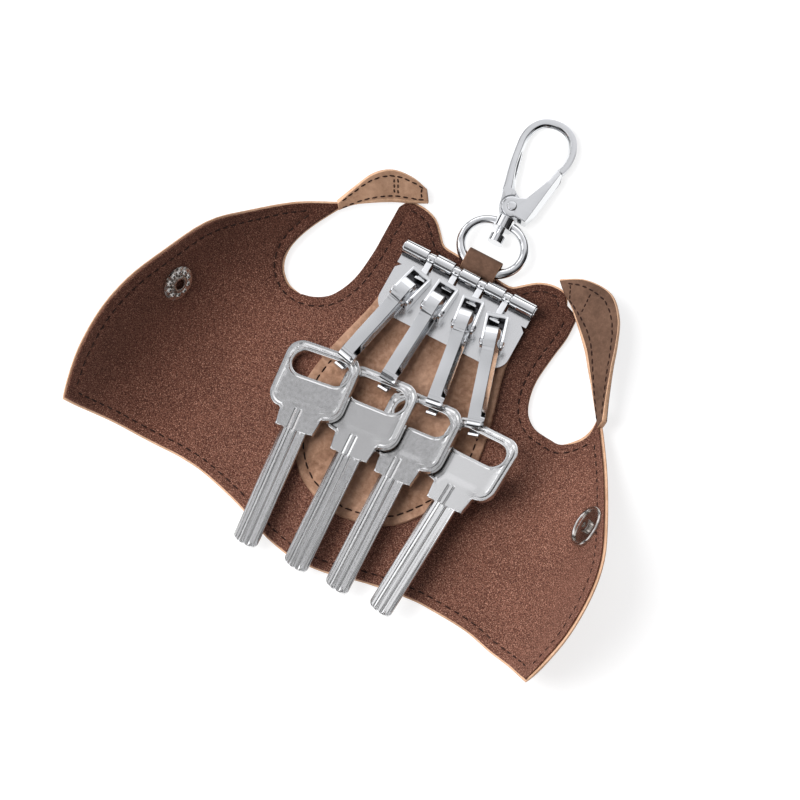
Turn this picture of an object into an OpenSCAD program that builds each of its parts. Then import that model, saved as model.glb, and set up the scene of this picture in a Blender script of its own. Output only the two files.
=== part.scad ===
// Waistcoat-shaped leather key case, laid open with its lining up: a flat back panel, two curled fronts that
// fold over the keys, shoulder straps round open armholes, a row of four snap hooks with key blanks, and a
// swivel clip in a leather loop at the neck. Millimetres, +Z up, origin in the middle of the back panel's
// outer face, +Y towards the neck.

/* [Leather body] */
// Height of the back panel, from the neck edge to the point of the hem
panel_h = 101; // [90:0.5:112]
// Thickness of the outer leather
leather_t = 1.2; // [0.9:0.1:1.6]
// Thickness of the suede lining
lining_t = 0.8; // [0.5:0.1:1.2]
// Reach of each front from the middle line to its edge, as it lies
front_reach = 80.5; // [74:0.5:86]
// Half width of the neck edge between the two ears
neck_half = 9.5; // [8:0.5:11]

/* [Curl of the fronts] */
// Left fold line at the armhole, as a share of the reach of the fronts
fold_left_share = 0.4845; // [0.4:0.005:0.6]
// Right fold line at the armhole, as a share of the reach of the fronts
fold_right_share = 0.5528; // [0.4:0.005:0.65]
// Lean of each fold line, outward towards the hem, in degrees
fold_lean = 8; // [5:0.5:10]
// Radius of the left front's curl
curl_left_r = 33; // [30:0.5:36]
// Radius of the right front's curl
curl_right_r = 27; // [25:0.5:30]
// Steepest slope of the left front, in degrees
curl_left_turn = 58; // [50:1:60]
// Steepest slope of the right front, in degrees
curl_right_turn = 62; // [52:1:64]

/* [Straps, loop and patch] */
// Width of a shoulder strap
strap_w = 11; // [9:0.5:12]
// Thickness of a shoulder strap, leather and lining together
strap_t = 1.6; // [1.2:0.1:2]
// Thickness of the patch sewn on the lining under the keys
patch_t = 1.2; // [1:0.1:1.5]
// Width of the neck loop that carries the clip
loop_w = 10.5; // [9:0.5:12]
// Thickness of the neck loop's leather
loop_t = 0.7; // [0.5:0.05:0.8]

/* [Hook row] */
// Width of the hook row's plate
plate_w = 41.7; // [41:0.1:44]
// Length of the plate below the rod's axis
plate_l = 20; // [18:0.5:22]
// Thickness of the plate's sheet
plate_t = 0.9; // [0.7:0.05:1]
// Diameter of the rod through the rolled knuckles
rod_d = 2.6; // [2.2:0.1:2.8]
// Pitch of the hooks along the rod
hook_pitch = 8.2; // [8:0.1:8.6]
// Width of the gap between two knuckles
knuckle_gap = 2.7; // [2.6:0.1:3.2]
// Turn of the plate on the panel, as riveted, in degrees
row_turn = 3; // [0:0.5:4]

/* [Hooks] */
// Length of a hook from its link pivot to the middle of its bend
hook_l = 32; // [31.5:0.1:32.3]
// Width of the snap gate on top of a hook
gate_w = 4.8; // [4.4:0.1:5.2]
// Width of the hook arm under the key
hook_arm_w = 3; // [2.6:0.1:3.2]
// Thickness of the hook's spring strip
strip_t = 0.8; // [0.6:0.05:0.9]
// Clear height inside the gate's bend, where the key hangs
hook_gap = 5; // [4.9:0.05:5.4]

/* [Keys] */
// Width of a key's bow
bow_w = 22.8; // [22.4:0.1:23]
// Height of a key's bow
bow_h = 20.8; // [19.5:0.1:21.5]
// Overall length of a key
key_l = 62.5; // [58:0.5:65]
// Width of a key's blade
blade_w = 8; // [7:0.1:9]
// Thickness of a key, raised rim included
key_t = 2; // [1.8:0.05:2.1]
// Roll of each key on its neighbour, in degrees
key_roll = 12; // [11.5:0.1:12.5]

/* [Swivel clip] */
// Width of the clip's swivel ring, over the wire
ring_w = 21; // [19.4:0.2:22]
// Height of the clip's swivel ring, over the wire
ring_h = 17.6; // [17:0.2:19]
// Diameter of the ring's wire
ring_wire_d = 2.4; // [2:0.1:2.6]
// Radius of the clip's bow, at the middle of the wire
clip_bow_r = 7; // [6.4:0.1:7.4]
// Length from the gate pivot to the middle of the clip's bow
clip_l = 19.4; // [18:0.2:21]
// Thickness of the clip at its gate pivot
clip_t = 5; // [4.6:0.1:5.2]

/* [Snap fastener] */
// Diameter of the socket ring on the left front
socket_d = 10.4; // [9.5:0.1:11.5]
// Diameter of the stud's dish on the right front
stud_d = 12.6; // [11.5:0.1:13.5]

/* [Hidden] */
$fn = 64;
SIDES = ["left", "right"];
HOOKS = [1, 2, 3, 4];
over = 1;            // overrun of a cut
skin = 0.05;         // running clearance of a pin in its hole
soft_gap = 0.3;      // clearance between leather and what moves past it

// Leather body, heights of the layers
lining_top = leather_t + lining_t;
patch_top = lining_top + patch_t;
neck_y = panel_h * 0.478;
fold_left = front_reach * fold_left_share;
fold_right = front_reach * fold_right_share;
function side_sign(side) = side == "left" ? -1 : 1;
function fold_x(side) = side == "left" ? fold_left : fold_right;
function curl_r(side) = side == "left" ? curl_left_r : curl_right_r;
function curl_turn(side) = side == "left" ? curl_left_turn : curl_right_turn;
// The right armhole lies further out, as its front is curled harder
function arm_shift(side) = (fold_x(side) - fold_left) * 0.75;

// A smooth curve through hand-chosen points, with steps on each stretch
function mid_pt(p, i, t) = let (n = len(p), a = p[max(i - 1, 0)], b = p[i], c = p[i + 1],
    d = p[min(i + 2, n - 1)])
  0.5 * (2 * b + (c - a) * t + (2 * a - 5 * b + 4 * c - d) * t * t + (3 * b - a - 3 * c + d) * t * t * t);
function curve(p, steps = 4) = [for (i = [0 : len(p) - 2], k = [0 : steps - 1]) mid_pt(p, i, k / steps),
  p[len(p) - 1]];
function arc(r, a0, a1, n) = [for (k = [0 : n]) r * [cos(a0 + (a1 - a0) * k / n), sin(a0 + (a1 - a0) * k / n)]];

// Shares of front_reach across and of panel_h down from the neck edge
ear_share = [[0.118, 0], [0.145, -0.004], [0.175, -0.026], [0.218, -0.056], [0.273, -0.070], [0.325, -0.064],
  [0.342, -0.033]];
arm_inner_share = [[0.342, -0.033], [0.338, 0.056], [0.337, 0.125], [0.348, 0.215], [0.385, 0.285],
  [0.435, 0.318], [0.4845, 0.33]];
// Outer side of each armhole, counted from the fold line; the right one ends lower, where its strap stands up
arm_left_share = [[0, 0.33], [0.055, 0.322], [0.103, 0.285], [0.117, 0.225], [0.093, 0.148], [0.034, 0.044]];
arm_right_share = [[0, 0.33], [0.043, 0.326], [0.099, 0.28], [0.114, 0.234], [0.106, 0.196]];
corner_left_share = [[0.534, 0.040], [0.655, 0.130], [0.762, 0.247], [0.852, 0.353]];
corner_right_share = [[0.655, 0.176], [0.69, 0.205], [0.735, 0.2465], [0.827, 0.351]];
edge_share = [[0.925, 0.495], [0.975, 0.615], [1, 0.724], [1, 0.846], [0.978, 0.945],
  [0.962, 0.988]];
hem_front_share = [[0.962, 0.988], [0.86, 0.957], [0.76, 0.935]];
hem_back_share = [[0.52, 0.915], [0.43, 0.92], [0.27, 0.945], [0.12, 0.985], [0, 1]];
function outline(share, shift = 0) = [for (s = share) [s[0] * front_reach + shift, neck_y - s[1] * panel_h]];
fold_y = neck_y - 0.33 * panel_h;       // level of the armholes' lower ends
function fold_at(side, y) = fold_x(side) + (fold_y - y) * tan(fold_lean);
hem_y = neck_y - 0.917 * panel_h;       // level at which the fold line meets the hem

// Outline of half the back panel, from the neck to the hem, drawn on the right-hand side
function later(p) = [for (k = [1 : len(p) - 1]) p[k]];
function back_half(side) = concat([[0, neck_y]], curve(outline(ear_share)),
  later(curve(outline(arm_inner_share, arm_shift(side)))), [[fold_x(side) + skin, fold_y], [fold_at(side, hem_y), hem_y]],
  curve(outline(hem_back_share)));
function mirrored(p) = [for (k = [len(p) - 2 : -1 : 1]) [-p[k][0], p[k][1]]];
module back_outline() { polygon(concat(back_half("right"), mirrored(back_half("left")))); }
module back_leather() { color([0.62, 0.47, 0.36]) linear_extrude(leather_t) back_outline(); }
module back_lining() {
  color([0.38, 0.23, 0.18]) difference() {
    translate([0, 0, leather_t]) linear_extrude(lining_t) back_outline();
    plate_rivet_places() cylinder(r = rivet_head_r + skin, h = rivet_head_t);
    plate_rivet_places() cylinder(r = rivet_r + skin, h = lining_top);
  }
}

// Curled fronts: a sheet bent about the fold line, trimmed by the front's outline seen from above
function front_arm(side) = side == "left" ? arm_left_share : arm_right_share;
function front_corner(side) = side == "left" ? corner_left_share : corner_right_share;
function front_half(side) = concat(curve(outline(front_arm(side), fold_x(side) + soft_gap)),
  curve(outline(concat(front_corner(side), edge_share))),
  later(curve(outline(hem_front_share))),
  [[fold_at(side, hem_y) + soft_gap, hem_y]]);
sheet_l = panel_h * 1.5;                // length of the sheet that a front is trimmed from
sheet_tail = front_reach * 0.4;         // its straight part past the curl
curl_steps = 18;
// Line of a front's cross-section at one depth: flat to the fold line, an arc, then a straight tail
function curl_line(side, depth) = let (r = curl_r(side), t = curl_turn(side)) concat([[-over, depth]],
  [for (k = [0 : curl_steps]) let (a = t * k / curl_steps) [(r - depth) * sin(a), r - (r - depth) * cos(a)]],
  [[(r - depth) * sin(t) + sheet_tail * cos(t), r - (r - depth) * cos(t) + sheet_tail * sin(t)]]);
module curl_section(side, low, high) {
  top = curl_line(side, high);
  polygon(concat(curl_line(side, low), [for (k = [len(top) - 1 : -1 : 0]) top[k]]));
}
module at_fold(side) {
  translate([fold_x(side), fold_y, 0]) rotate([0, 0, fold_lean]) children();
}
module front_sheet(side, low, high) {
  mirror([side == "left" ? 1 : 0, 0, 0]) intersection() {
    at_fold(side) translate([0, sheet_l / 2, 0]) rotate([90, 0, 0]) linear_extrude(sheet_l)
      curl_section(side, low, high);
    translate([0, 0, -over]) linear_extrude(front_reach) polygon(front_half(side));
  }
}
module left_front_leather() {
  color([0.62, 0.47, 0.36]) difference() { front_sheet("left", 0, leather_t); at_snap("left") snap_hole(); }
}
module left_front_lining() {
  color([0.38, 0.23, 0.18]) difference() {
    front_sheet("left", leather_t, lining_top);
    at_snap("left") snap_hole();
    at_snap("left") snap_seat(socket_d);
  }
}
module right_front_leather() {
  color([0.62, 0.47, 0.36]) difference() { front_sheet("right", 0, leather_t); at_snap("right") snap_hole(); }
}
module right_front_lining() {
  color([0.38, 0.23, 0.18]) difference() {
    front_sheet("right", leather_t, lining_top);
    at_snap("right") snap_hole();
    at_snap("right") snap_seat(stud_d);
  }
}

// Shoulder straps: a ribbon from the ear's crest over the armhole to the front's upper corner. Each station
// has the ribbon's inner and outer edge: across in shares of front_reach, up from the neck edge in shares of
// panel_h, and its height in shares of strap_w.
strap_left_share = [
  [[-0.266, 0.081, 0.25], [-0.298, 0.113, 0.36]], [[-0.318, 0.054, 0.31], [-0.355, 0.116, 0.59]],
  [[-0.37, 0.028, 0.45], [-0.427, 0.1, 0.82]], [[-0.425, -0.006, 0.59], [-0.477, 0.056, 1.0]],
  [[-0.48, -0.038, 0.55], [-0.51, -0.004, 0.91]], [[-0.525, -0.07, 0.41], [-0.539, -0.058, 0.68]]];
strap_right_share = [
  [[0.349, 0.047, 0.27], [0.285, 0.083, 0.36]], [[0.41, 0.008, 0.45], [0.374, 0.113, 0.64]],
  [[0.471, -0.039, 0.68], [0.483, 0.107, 1.0]], [[0.516, -0.075, 0.82], [0.559, 0.055, 1.18]],
  [[0.557, -0.114, 0.86], [0.605, -0.015, 1.27]], [[0.603, -0.157, 0.86], [0.637, -0.083, 1.32]],
  [[0.653, -0.205, 0.82], [0.672, -0.154, 1.27]], [[0.696, -0.238, 0.73], [0.708, -0.221, 1.14]]];
function strap_pt(s) = [s[0] * front_reach, neck_y + s[1] * panel_h, s[2] * strap_w];
function strap_ring(a, b) = let (n = unit(cross(b - a, [0, 0, 1]) + [0, 0, 0.001]),
    up = unit(cross(unit(b - a), n)), h = up * strap_t / 2) [a - h, b - h, b + h, a + h];
function unit(v) = v / norm(v);
module ribbon(stations) {
  rings = [for (s = stations) strap_ring(s[0], s[1])];
  n = len(rings);
  pts = [for (r = rings, p = r) p];
  sides = [for (i = [0 : n - 2], k = [0 : 3]) let (a = 4 * i + k, b = 4 * i + (k + 1) % 4) [a, b, b + 4, a + 4]];
  tri = [for (q = sides) each [[q[0], q[1], q[2]], [q[0], q[2], q[3]]]];
  polyhedron(pts, concat([[2, 1, 0], [3, 2, 0]], tri,
    [[4 * n - 4, 4 * n - 3, 4 * n - 2], [4 * n - 4, 4 * n - 2, 4 * n - 1]]));
}
function stations(share) = let (a = curve([for (s = share) strap_pt(s[0])]), b = curve([for (s = share)
    strap_pt(s[1])])) [for (i = [0 : len(a) - 1]) [a[i], b[i]]];
module left_strap() { color([0.58, 0.44, 0.34]) ribbon(stations(strap_left_share)); }
module right_strap() { color([0.58, 0.44, 0.34]) ribbon([for (s = stations(strap_right_share)) [s[1], s[0]]]); }

// Patch under the keys, turned with the row: its upper edge butts on the loop's tab below the plate
patch_share = [[0.37, 0.075], [0.385, 0.23], [0.463, 0.45], [0.494, 0.6], [0.47, 0.72], [0.405, 0.82],
  [0.29, 0.925], [0.15, 0.98], [0, 1]];
patch_w = 55.4;
patch_l = 78;
tab_l = 6;                              // length of the loop's tab under the plate
module key_patch() {
  pts = concat([[0, -patch_share[0][1] * patch_l - tab_l * 0.08]],
    curve([for (s = patch_share) [s[0] * patch_w, -s[1] * patch_l - tab_l * 0.08]], 3));
  color([0.66, 0.49, 0.37]) difference() {
    row_frame() translate([0, 0, -patch_t]) linear_extrude(patch_t) polygon(concat(pts, mirrored(pts)));
    plate_rivet_places() cylinder(r = rivet_r + skin, h = patch_top + over);
  }
}

// Frame of the hook row: origin under the middle of the rod, on the patch
row_x = 0.8;                            // the plate is riveted a little off the middle
row_drop = 5.6;                         // rod axis below the neck edge
row_y = neck_y - row_drop;
module row_frame() { translate([row_x, row_y, patch_top]) rotate([0, 0, row_turn]) children(); }

// Neck loop: a flat tab under the plate that runs into a closed loop round the ring's wire
wire_r = ring_wire_d / 2;
loop_play = 0.15;                       // play of the ring's wire in the loop
loop_r = wire_r + loop_play + loop_t;   // outer radius of the loop
loop_bar_y = 4.5;                       // ring's lower bar above the rod's axis
loop_x = 0.9;                           // middle of the loop, off the row's middle
loop_z = lining_top + loop_r;
loop_slack = 2.4;                       // straight part of the loop past the bar
module loop_section() {
  difference() {
    union() {
      circle(loop_r);
      translate([0, -loop_r]) square([loop_slack, 2 * loop_r]);
      translate([loop_slack, 0]) circle(loop_r);
      translate([-loop_bar_y - tab_l, -loop_r]) square([loop_bar_y + tab_l, patch_t]);
    }
    circle(loop_r - loop_t);
    translate([0, loop_t - loop_r]) square([loop_slack, 2 * (loop_r - loop_t)]);
    translate([loop_slack, 0]) circle(loop_r - loop_t);
  }
}
module neck_loop() {
  color([0.66, 0.49, 0.37]) row_frame() translate([loop_x - loop_w / 2, loop_bar_y, loop_z - patch_top])
    rotate([90, 0, 90]) linear_extrude(loop_w) loop_section();
}

// Hook plate: one sheet whose upper edge is cut into five tabs and rolled into knuckles round the rod
rod_r = rod_d / 2;
knuckle_in = rod_r + skin;
knuckle_out = knuckle_in + plate_t;
rod_z = knuckle_out;
link_pitch_share = [-1.5, -0.5, 0.5, 1.5];
function link_x(i) = link_pitch_share[i - 1] * hook_pitch;
knuckle_ends = concat([-plate_w / 2], [for (i = HOOKS) each [link_x(i) - knuckle_gap / 2,
  link_x(i) + knuckle_gap / 2]], [plate_w / 2]);
plate_chamfer = 3;                      // upper corners of the plate
plate_corner = 4.5;                     // lower corners of the plate
tab_neck = 3.4;                         // level below the rod at which the tabs start
roll_seam = 0.35;                       // open seam where a rolled tab meets its plate
module plate_outline() {
  h = plate_w / 2;
  polygon(concat([[-h, -tab_neck - plate_chamfer], [-h + plate_chamfer, -tab_neck],
    [h - plate_chamfer, -tab_neck], [h, -tab_neck - plate_chamfer]],
    [for (p = arc(plate_corner, 0, -90, 8)) p + [h - plate_corner, plate_corner - plate_l]],
    [for (p = arc(plate_corner, -90, -180, 8)) p + [plate_corner - h, plate_corner - plate_l]]));
}
rivet_r = 1.2;                          // shank of a plate rivet
rivet_head_r = 2.2;
rivet_head_t = 0.4;
rivet_share = [-0.36, 0.36];            // places of the rivets across the plate
rivet_drop_share = 0.62;                // and down it
module plate_rivet_places() {
  for (s = rivet_share) row_frame() translate([s * plate_w, -rivet_drop_share * plate_l, leather_t - patch_top])
    children();
}
module hook_plate() {
  color([0.8, 0.8, 0.8]) difference() {
    row_frame() union() {
      linear_extrude(plate_t) plate_outline();
      for (k = [0 : 4]) translate([knuckle_ends[2 * k], 0, 0]) knuckle(knuckle_ends[2 * k + 1] - knuckle_ends[2 * k]);
    }
    plate_rivet_places() cylinder(r = rivet_r + skin, h = patch_top + plate_t);
  }
}
module knuckle(l) {
  difference() {
    union() {
      translate([0, 0, rod_z]) rotate([0, 90, 0]) cylinder(r = knuckle_out, h = l);
      translate([0, -tab_neck - plate_chamfer / 2, 0]) cube([l, tab_neck + plate_chamfer / 2, plate_t]);
    }
    translate([-over, 0, rod_z]) rotate([0, 90, 0]) cylinder(r = knuckle_in, h = l + 2 * over);
    translate([-over, -knuckle_out - over, plate_t]) cube([l + 2 * over, knuckle_out + over - rod_r * 0.8,
      roll_seam]);
  }
}
rod_head_r = rod_r + 0.35 * plate_t;
module hook_rod() {
  color([0.86, 0.86, 0.88]) row_frame() translate([-plate_w / 2, 0, rod_z]) rotate([0, 90, 0]) {
    cylinder(r = rod_r, h = plate_w);
    translate([0, 0, -plate_t / 2]) cylinder(r = rod_head_r, h = plate_t / 2);
    translate([0, 0, plate_w]) cylinder(r = rod_head_r, h = plate_t / 2);
  }
}
module plate_rivets() {
  color([0.75, 0.75, 0.75]) plate_rivet_places() {
    cylinder(r = rivet_head_r, h = rivet_head_t);
    cylinder(r = rivet_r, h = patch_top - leather_t + plate_t);
    translate([0, 0, patch_top - leather_t + plate_t]) cylinder(r1 = rivet_r * 1.6, r2 = rivet_r * 1.1,
      h = rivet_head_t / 2);
  }
}

// Hooks. Each has a link on the rod, a frame whose floor runs on into the hook arm, and a snap gate that
// closes the arm from above. The frames fan out about their links.
fan = [-12.5, -3.2, 8.5, 17];
bend_line_y = -36.5;                    // all four bends lie on this line below the rod's axis
function frame_top(i) = -bend_line_y - hook_l * cos(fan[i - 1]);   // end wall of a frame below the rod
cheek_t = 0.7;                          // sheet of a frame
gate_play = 0.15;                       // side clearance of a gate in its frame
frame_w = gate_w + 2 * (gate_play + cheek_t);
floor_z = plate_t + 0.3;                // underside of a frame over the plate
bend_in = hook_gap / 2;                 // inner radius of a gate's bend
bend_out = bend_in + strip_t;
tip_in = bend_in + 0.7;                 // inner radius of the arm's bend
tip_out = tip_in + strip_t;
tip_shift = 1.3;                        // the arm's bend lies this much further out
bend_z = floor_z + tip_out;             // height of both bends' middle
strip_top = bend_z + bend_out;          // upper face of a gate
pivot_y = -9.2;                         // gate pivot, along the frame from its end wall
pivot_z = bend_z + 1.3;
pivot_r = 0.8;
pivot_boss = 1.9;                       // round ends of the cheeks
link_w = 1.9;
link_t = 1.2;
link_rise = 14;                         // slope of a link's shank, in degrees
head_w = 3.2;                           // T head of a link inside the frame
module at_hook(i) {
  row_frame() translate([link_x(i), -frame_top(i), 0]) rotate([0, 0, fan[i - 1]]) children();
}
// Shank of a link from the rod's axis to the inside of its head
function link_l(i) = (frame_top(i) + 2 * cheek_t + head_w / 2 * abs(sin(fan[i - 1]))) / cos(link_rise);
module hook_link(i) {
  color([0.85, 0.85, 0.86]) row_frame() translate([link_x(i), 0, rod_z]) rotate([-link_rise, 0, 0]) difference() {
    union() {
      translate([-link_w / 2, 0, 0]) rotate([0, 90, 0]) cylinder(r = knuckle_in + link_t * 0.65, h = link_w);
      translate([-link_w / 2, -link_l(i), -link_t / 2]) cube([link_w, link_l(i), link_t]);
      translate([-head_w / 2, -link_l(i) - link_t * 0.7, -link_t / 2]) cube([head_w, link_t * 0.7, link_t]);
    }
    translate([-link_w, 0, 0]) rotate([0, 90, 0]) cylinder(r = knuckle_in, h = 2 * link_w);
  }
}
link_z = rod_z + 5 * tan(link_rise);    // height of a link where it enters its frame
wall_hole_w = link_w + 1.1;
wall_hole_h = link_t + 0.9;
tip_turn = 20;                          // end of the arm's tip past the level, in degrees
gate_turn = 34;                         // end of the gate's front, above the level
// Frame: end wall, two cheeks and a floor, one sheet; the floor narrows into the arm and bends up to the tip
module hook_frame(i) {
  color([0.83, 0.83, 0.84]) at_hook(i) {
    difference() {
      union() {
        translate([-frame_w / 2, -cheek_t, floor_z]) cube([frame_w, cheek_t, link_z + wall_hole_h - floor_z]);
        translate([-frame_w / 2, -1.7 * cheek_t, link_z + wall_hole_h - cheek_t]) cube([frame_w, 1.7 * cheek_t,
          cheek_t]);
        translate([-frame_w / 2, pivot_y - pivot_boss, floor_z]) cube([frame_w, -pivot_y + pivot_boss, strip_t]);
        for (m = [0, 1]) mirror([m, 0, 0]) translate([gate_w / 2 + gate_play, 0, 0]) cheek();
      }
      translate([-wall_hole_w / 2, -2 * cheek_t, link_z - wall_hole_h / 2]) cube([wall_hole_w, 3 * cheek_t,
        wall_hole_h]);
      translate([-frame_w, pivot_y, pivot_z]) rotate([0, 90, 0]) cylinder(r = pivot_r, h = 2 * frame_w);
    }
    translate([-hook_arm_w / 2, -hook_l - tip_shift, floor_z]) cube([hook_arm_w, hook_l + tip_shift + pivot_y, strip_t]);
    translate([-hook_arm_w / 2, -hook_l - tip_shift, bend_z]) rotate([90, 0, 90])
      bend(hook_arm_w, 270, 180 - tip_turn, tip_in, tip_out);
  }
}
module cheek() {
  rotate([90, 0, 90]) linear_extrude(cheek_t) difference() {
    union() {
      polygon([[0, floor_z], [0, link_z + wall_hole_h], [-cheek_t, link_z + wall_hole_h],
        [pivot_y, pivot_z + pivot_boss], [pivot_y, floor_z]]);
      translate([pivot_y, pivot_z]) circle(pivot_boss);
      translate([pivot_y - pivot_boss, floor_z]) square([pivot_boss, strip_t + cheek_t]);
      translate([pivot_y - pivot_boss, floor_z]) square([pivot_boss, pivot_z - floor_z]);
    }
  }
}
// Part of a bend between two angles, counted in the plane of the hook
module bend(w, a0, a1, low, high) {
  linear_extrude(w) intersection() {
    difference() { circle(high); circle(low); }
    polygon(concat([[0, 0]], arc(2 * high, a0, a1, 6)));
  }
}
// Gate: a flat strip with a stepped tail, two ears on the pivot pin and a front that turns down to the tip
tail_l = 4.6;                           // tail of a gate past its pivot
gate_hump = 0.7;                        // rise of the hump at the tail
ear_t = 0.6;
module hook_gate(i) {
  color([0.9, 0.9, 0.91]) at_hook(i) difference() {
    union() {
      translate([-gate_w / 2, 0, 0]) rotate([90, 0, 90]) linear_extrude(gate_w) gate_section();
      for (m = [0, 1]) mirror([m, 0, 0]) translate([gate_w / 2 - ear_t, 0, 0]) rotate([90, 0, 90])
        linear_extrude(ear_t) {
          translate([pivot_y, pivot_z]) circle(pivot_boss * 0.85);
          translate([pivot_y - pivot_boss * 0.85, pivot_z]) square([pivot_boss * 1.7, strip_top - pivot_z]);
        }
      translate([-gate_w / 2, -hook_l, bend_z]) rotate([90, 0, 90])
        bend(gate_w, 90, 180 - gate_turn, bend_in, bend_out);
    }
    translate([-frame_w, pivot_y, pivot_z]) rotate([0, 90, 0]) cylinder(r = pivot_r + skin, h = 2 * frame_w);
  }
}
function gate_line(dz) = [[-hook_l, strip_top + dz], [pivot_y - 3, strip_top + dz],
  [pivot_y - 1.4, strip_top + gate_hump + dz], [pivot_y + 1.6, strip_top + gate_hump + dz],
  [pivot_y + tail_l - 1.2, strip_top + dz], [pivot_y + tail_l, strip_top + dz - gate_hump]];
module gate_section() {
  low = gate_line(-strip_t);
  polygon(concat(gate_line(0), [for (k = [len(low) - 1 : -1 : 0]) low[k]]));
}
module hook_pin(i) {
  color([0.78, 0.78, 0.8]) at_hook(i) translate([-frame_w / 2, pivot_y, pivot_z]) rotate([0, 90, 0]) {
    cylinder(r = pivot_r, h = frame_w);
    translate([0, 0, -cheek_t * 0.6]) cylinder(r1 = pivot_r * 0.9, r2 = pivot_r * 1.5, h = cheek_t * 0.6);
    translate([0, 0, frame_w]) cylinder(r1 = pivot_r * 1.5, r2 = pivot_r * 0.9, h = cheek_t * 0.6);
  }
}
// Leaf spring: lies on the floor and bears on the gate's tail from below
spring_w = gate_w - 2 * ear_t - 0.6;
spring_t = 0.3;
module hook_spring(i) {
  color([0.7, 0.71, 0.74]) at_hook(i) translate([-spring_w / 2, 0, 0]) rotate([90, 0, 90])
    linear_extrude(spring_w) spring_section();
}
function spring_line(dz) = [[pivot_y - pivot_boss, floor_z + strip_t + dz], [pivot_y + 0.4, floor_z + strip_t + dz],
  [pivot_y + tail_l * 0.55, floor_z + strip_t + (strip_top - floor_z - strip_t) * 0.5 + dz],
  [pivot_y + tail_l - 1.3, strip_top - strip_t - spring_t - 0.1 + dz]];
module spring_section() {
  top = spring_line(spring_t);
  polygon(concat(spring_line(0), [for (k = [3 : -1 : 0]) top[k]]));
}

// Keys: shingled blanks, each one's right-hand side on the next one
key_line_y = bend_line_y - 1.8;         // swing axis of the keys below the rod's axis
key_z = bend_z - 0.75;
key_slide = [-5.7, -0.8, -1.2, 4.8];   // key's middle along its own bar from its hook
key_yaw = [5.4, 3.4, 3.4, -0.4];
key_bar = 2.7;                        // bow metal above the slot
slot_h = 7.4;
bow_side = 2.8;                         // bow metal beside the slot
slot_w = bow_w - 2 * bow_side;
slot_corner = 2.6;
bow_corner = 4.6;
collar_w = 12.8;
collar_l = 5.3;
collar_step = 1.2;
rim_t = 0.2;                            // raised rim on both faces of a bow
rim_w = 1.1;
groove_share = [[-0.2, 0.11], [0.12, 0.05]];   // places and widths of the blade's grooves
function hook_end_x(i) = link_x(i) + (hook_l + 1.8) * sin(fan[i - 1]);
module at_key(i) {
  row_frame() translate([hook_end_x(i), key_line_y, key_z]) rotate([0, 0, key_yaw[i - 1]])
    rotate([0, -key_roll, 0]) translate([key_slide[i - 1], 0, 0]) children();
}
module rounded(w, h, r) {
  translate([r - w / 2, r - h]) for (a = [0 : 3]) translate([a % 2 * (w - 2 * r), floor(a / 2) * (h - 2 * r)]) circle(r);
  translate([-w / 2, r - h]) square([w, h - 2 * r]);
  translate([r - w / 2, -h]) square([w - 2 * r, h]);
}
module slot_outline(grow) {
  translate([0, grow]) rounded(slot_w + 2 * grow, slot_h + 2 * grow, slot_corner + grow);
}
module key(i) {
  half = key_t / 2;
  web = key_t - 2 * rim_t;
  bar_half = key_bar / 2;
  blade_l = key_l - bow_h - collar_l;
  color([0.78, 0.78, 0.78]) at_key(i) difference() {
    union() {
      translate([0, bar_half, -web / 2]) linear_extrude(web) rounded(bow_w, bow_h, bow_corner);
      // raised rims round the bow and round the slot
      translate([0, 0, -half]) linear_extrude(key_t) {
        difference() {
          translate([0, bar_half]) rounded(bow_w, bow_h, bow_corner);
          translate([0, bar_half - rim_w]) rounded(bow_w - 2 * rim_w, bow_h - 2 * rim_w, bow_corner - rim_w);
        }
        translate([0, -bar_half]) slot_outline(rim_w * 0.8);
      }
      translate([0, bar_half - bow_h, -half]) linear_extrude(key_t)
        polygon([[-collar_w / 2, rim_w], [collar_w / 2, rim_w], [collar_w / 2, -collar_l * 0.25],
          [collar_w / 2 - collar_step / 2, -collar_l], [blade_w / 2, -collar_l], [blade_w / 2, -collar_l - blade_l * 0.93],
          [blade_w * 0.1, -collar_l - blade_l], [-blade_w * 0.1, -collar_l - blade_l],
          [-blade_w / 2, -collar_l - blade_l * 0.96], [-blade_w / 2, -collar_l],
          [collar_step / 2 - collar_w / 2, -collar_l], [-collar_w / 2, -collar_l * 0.25]]);
    }
    translate([0, -bar_half, -half - over]) linear_extrude(key_t + 2 * over) slot_outline(0);
    for (g = groove_share, s = [-1, 1]) translate([(g[0] - g[1] / 2) * blade_w, bar_half - key_l - over,
      s > 0 ? half - web * 0.3 : -half - over])
      cube([g[1] * blade_w, key_l - bow_h + over - collar_l * 0.35, web * 0.3 + over]);
  }
}

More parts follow.
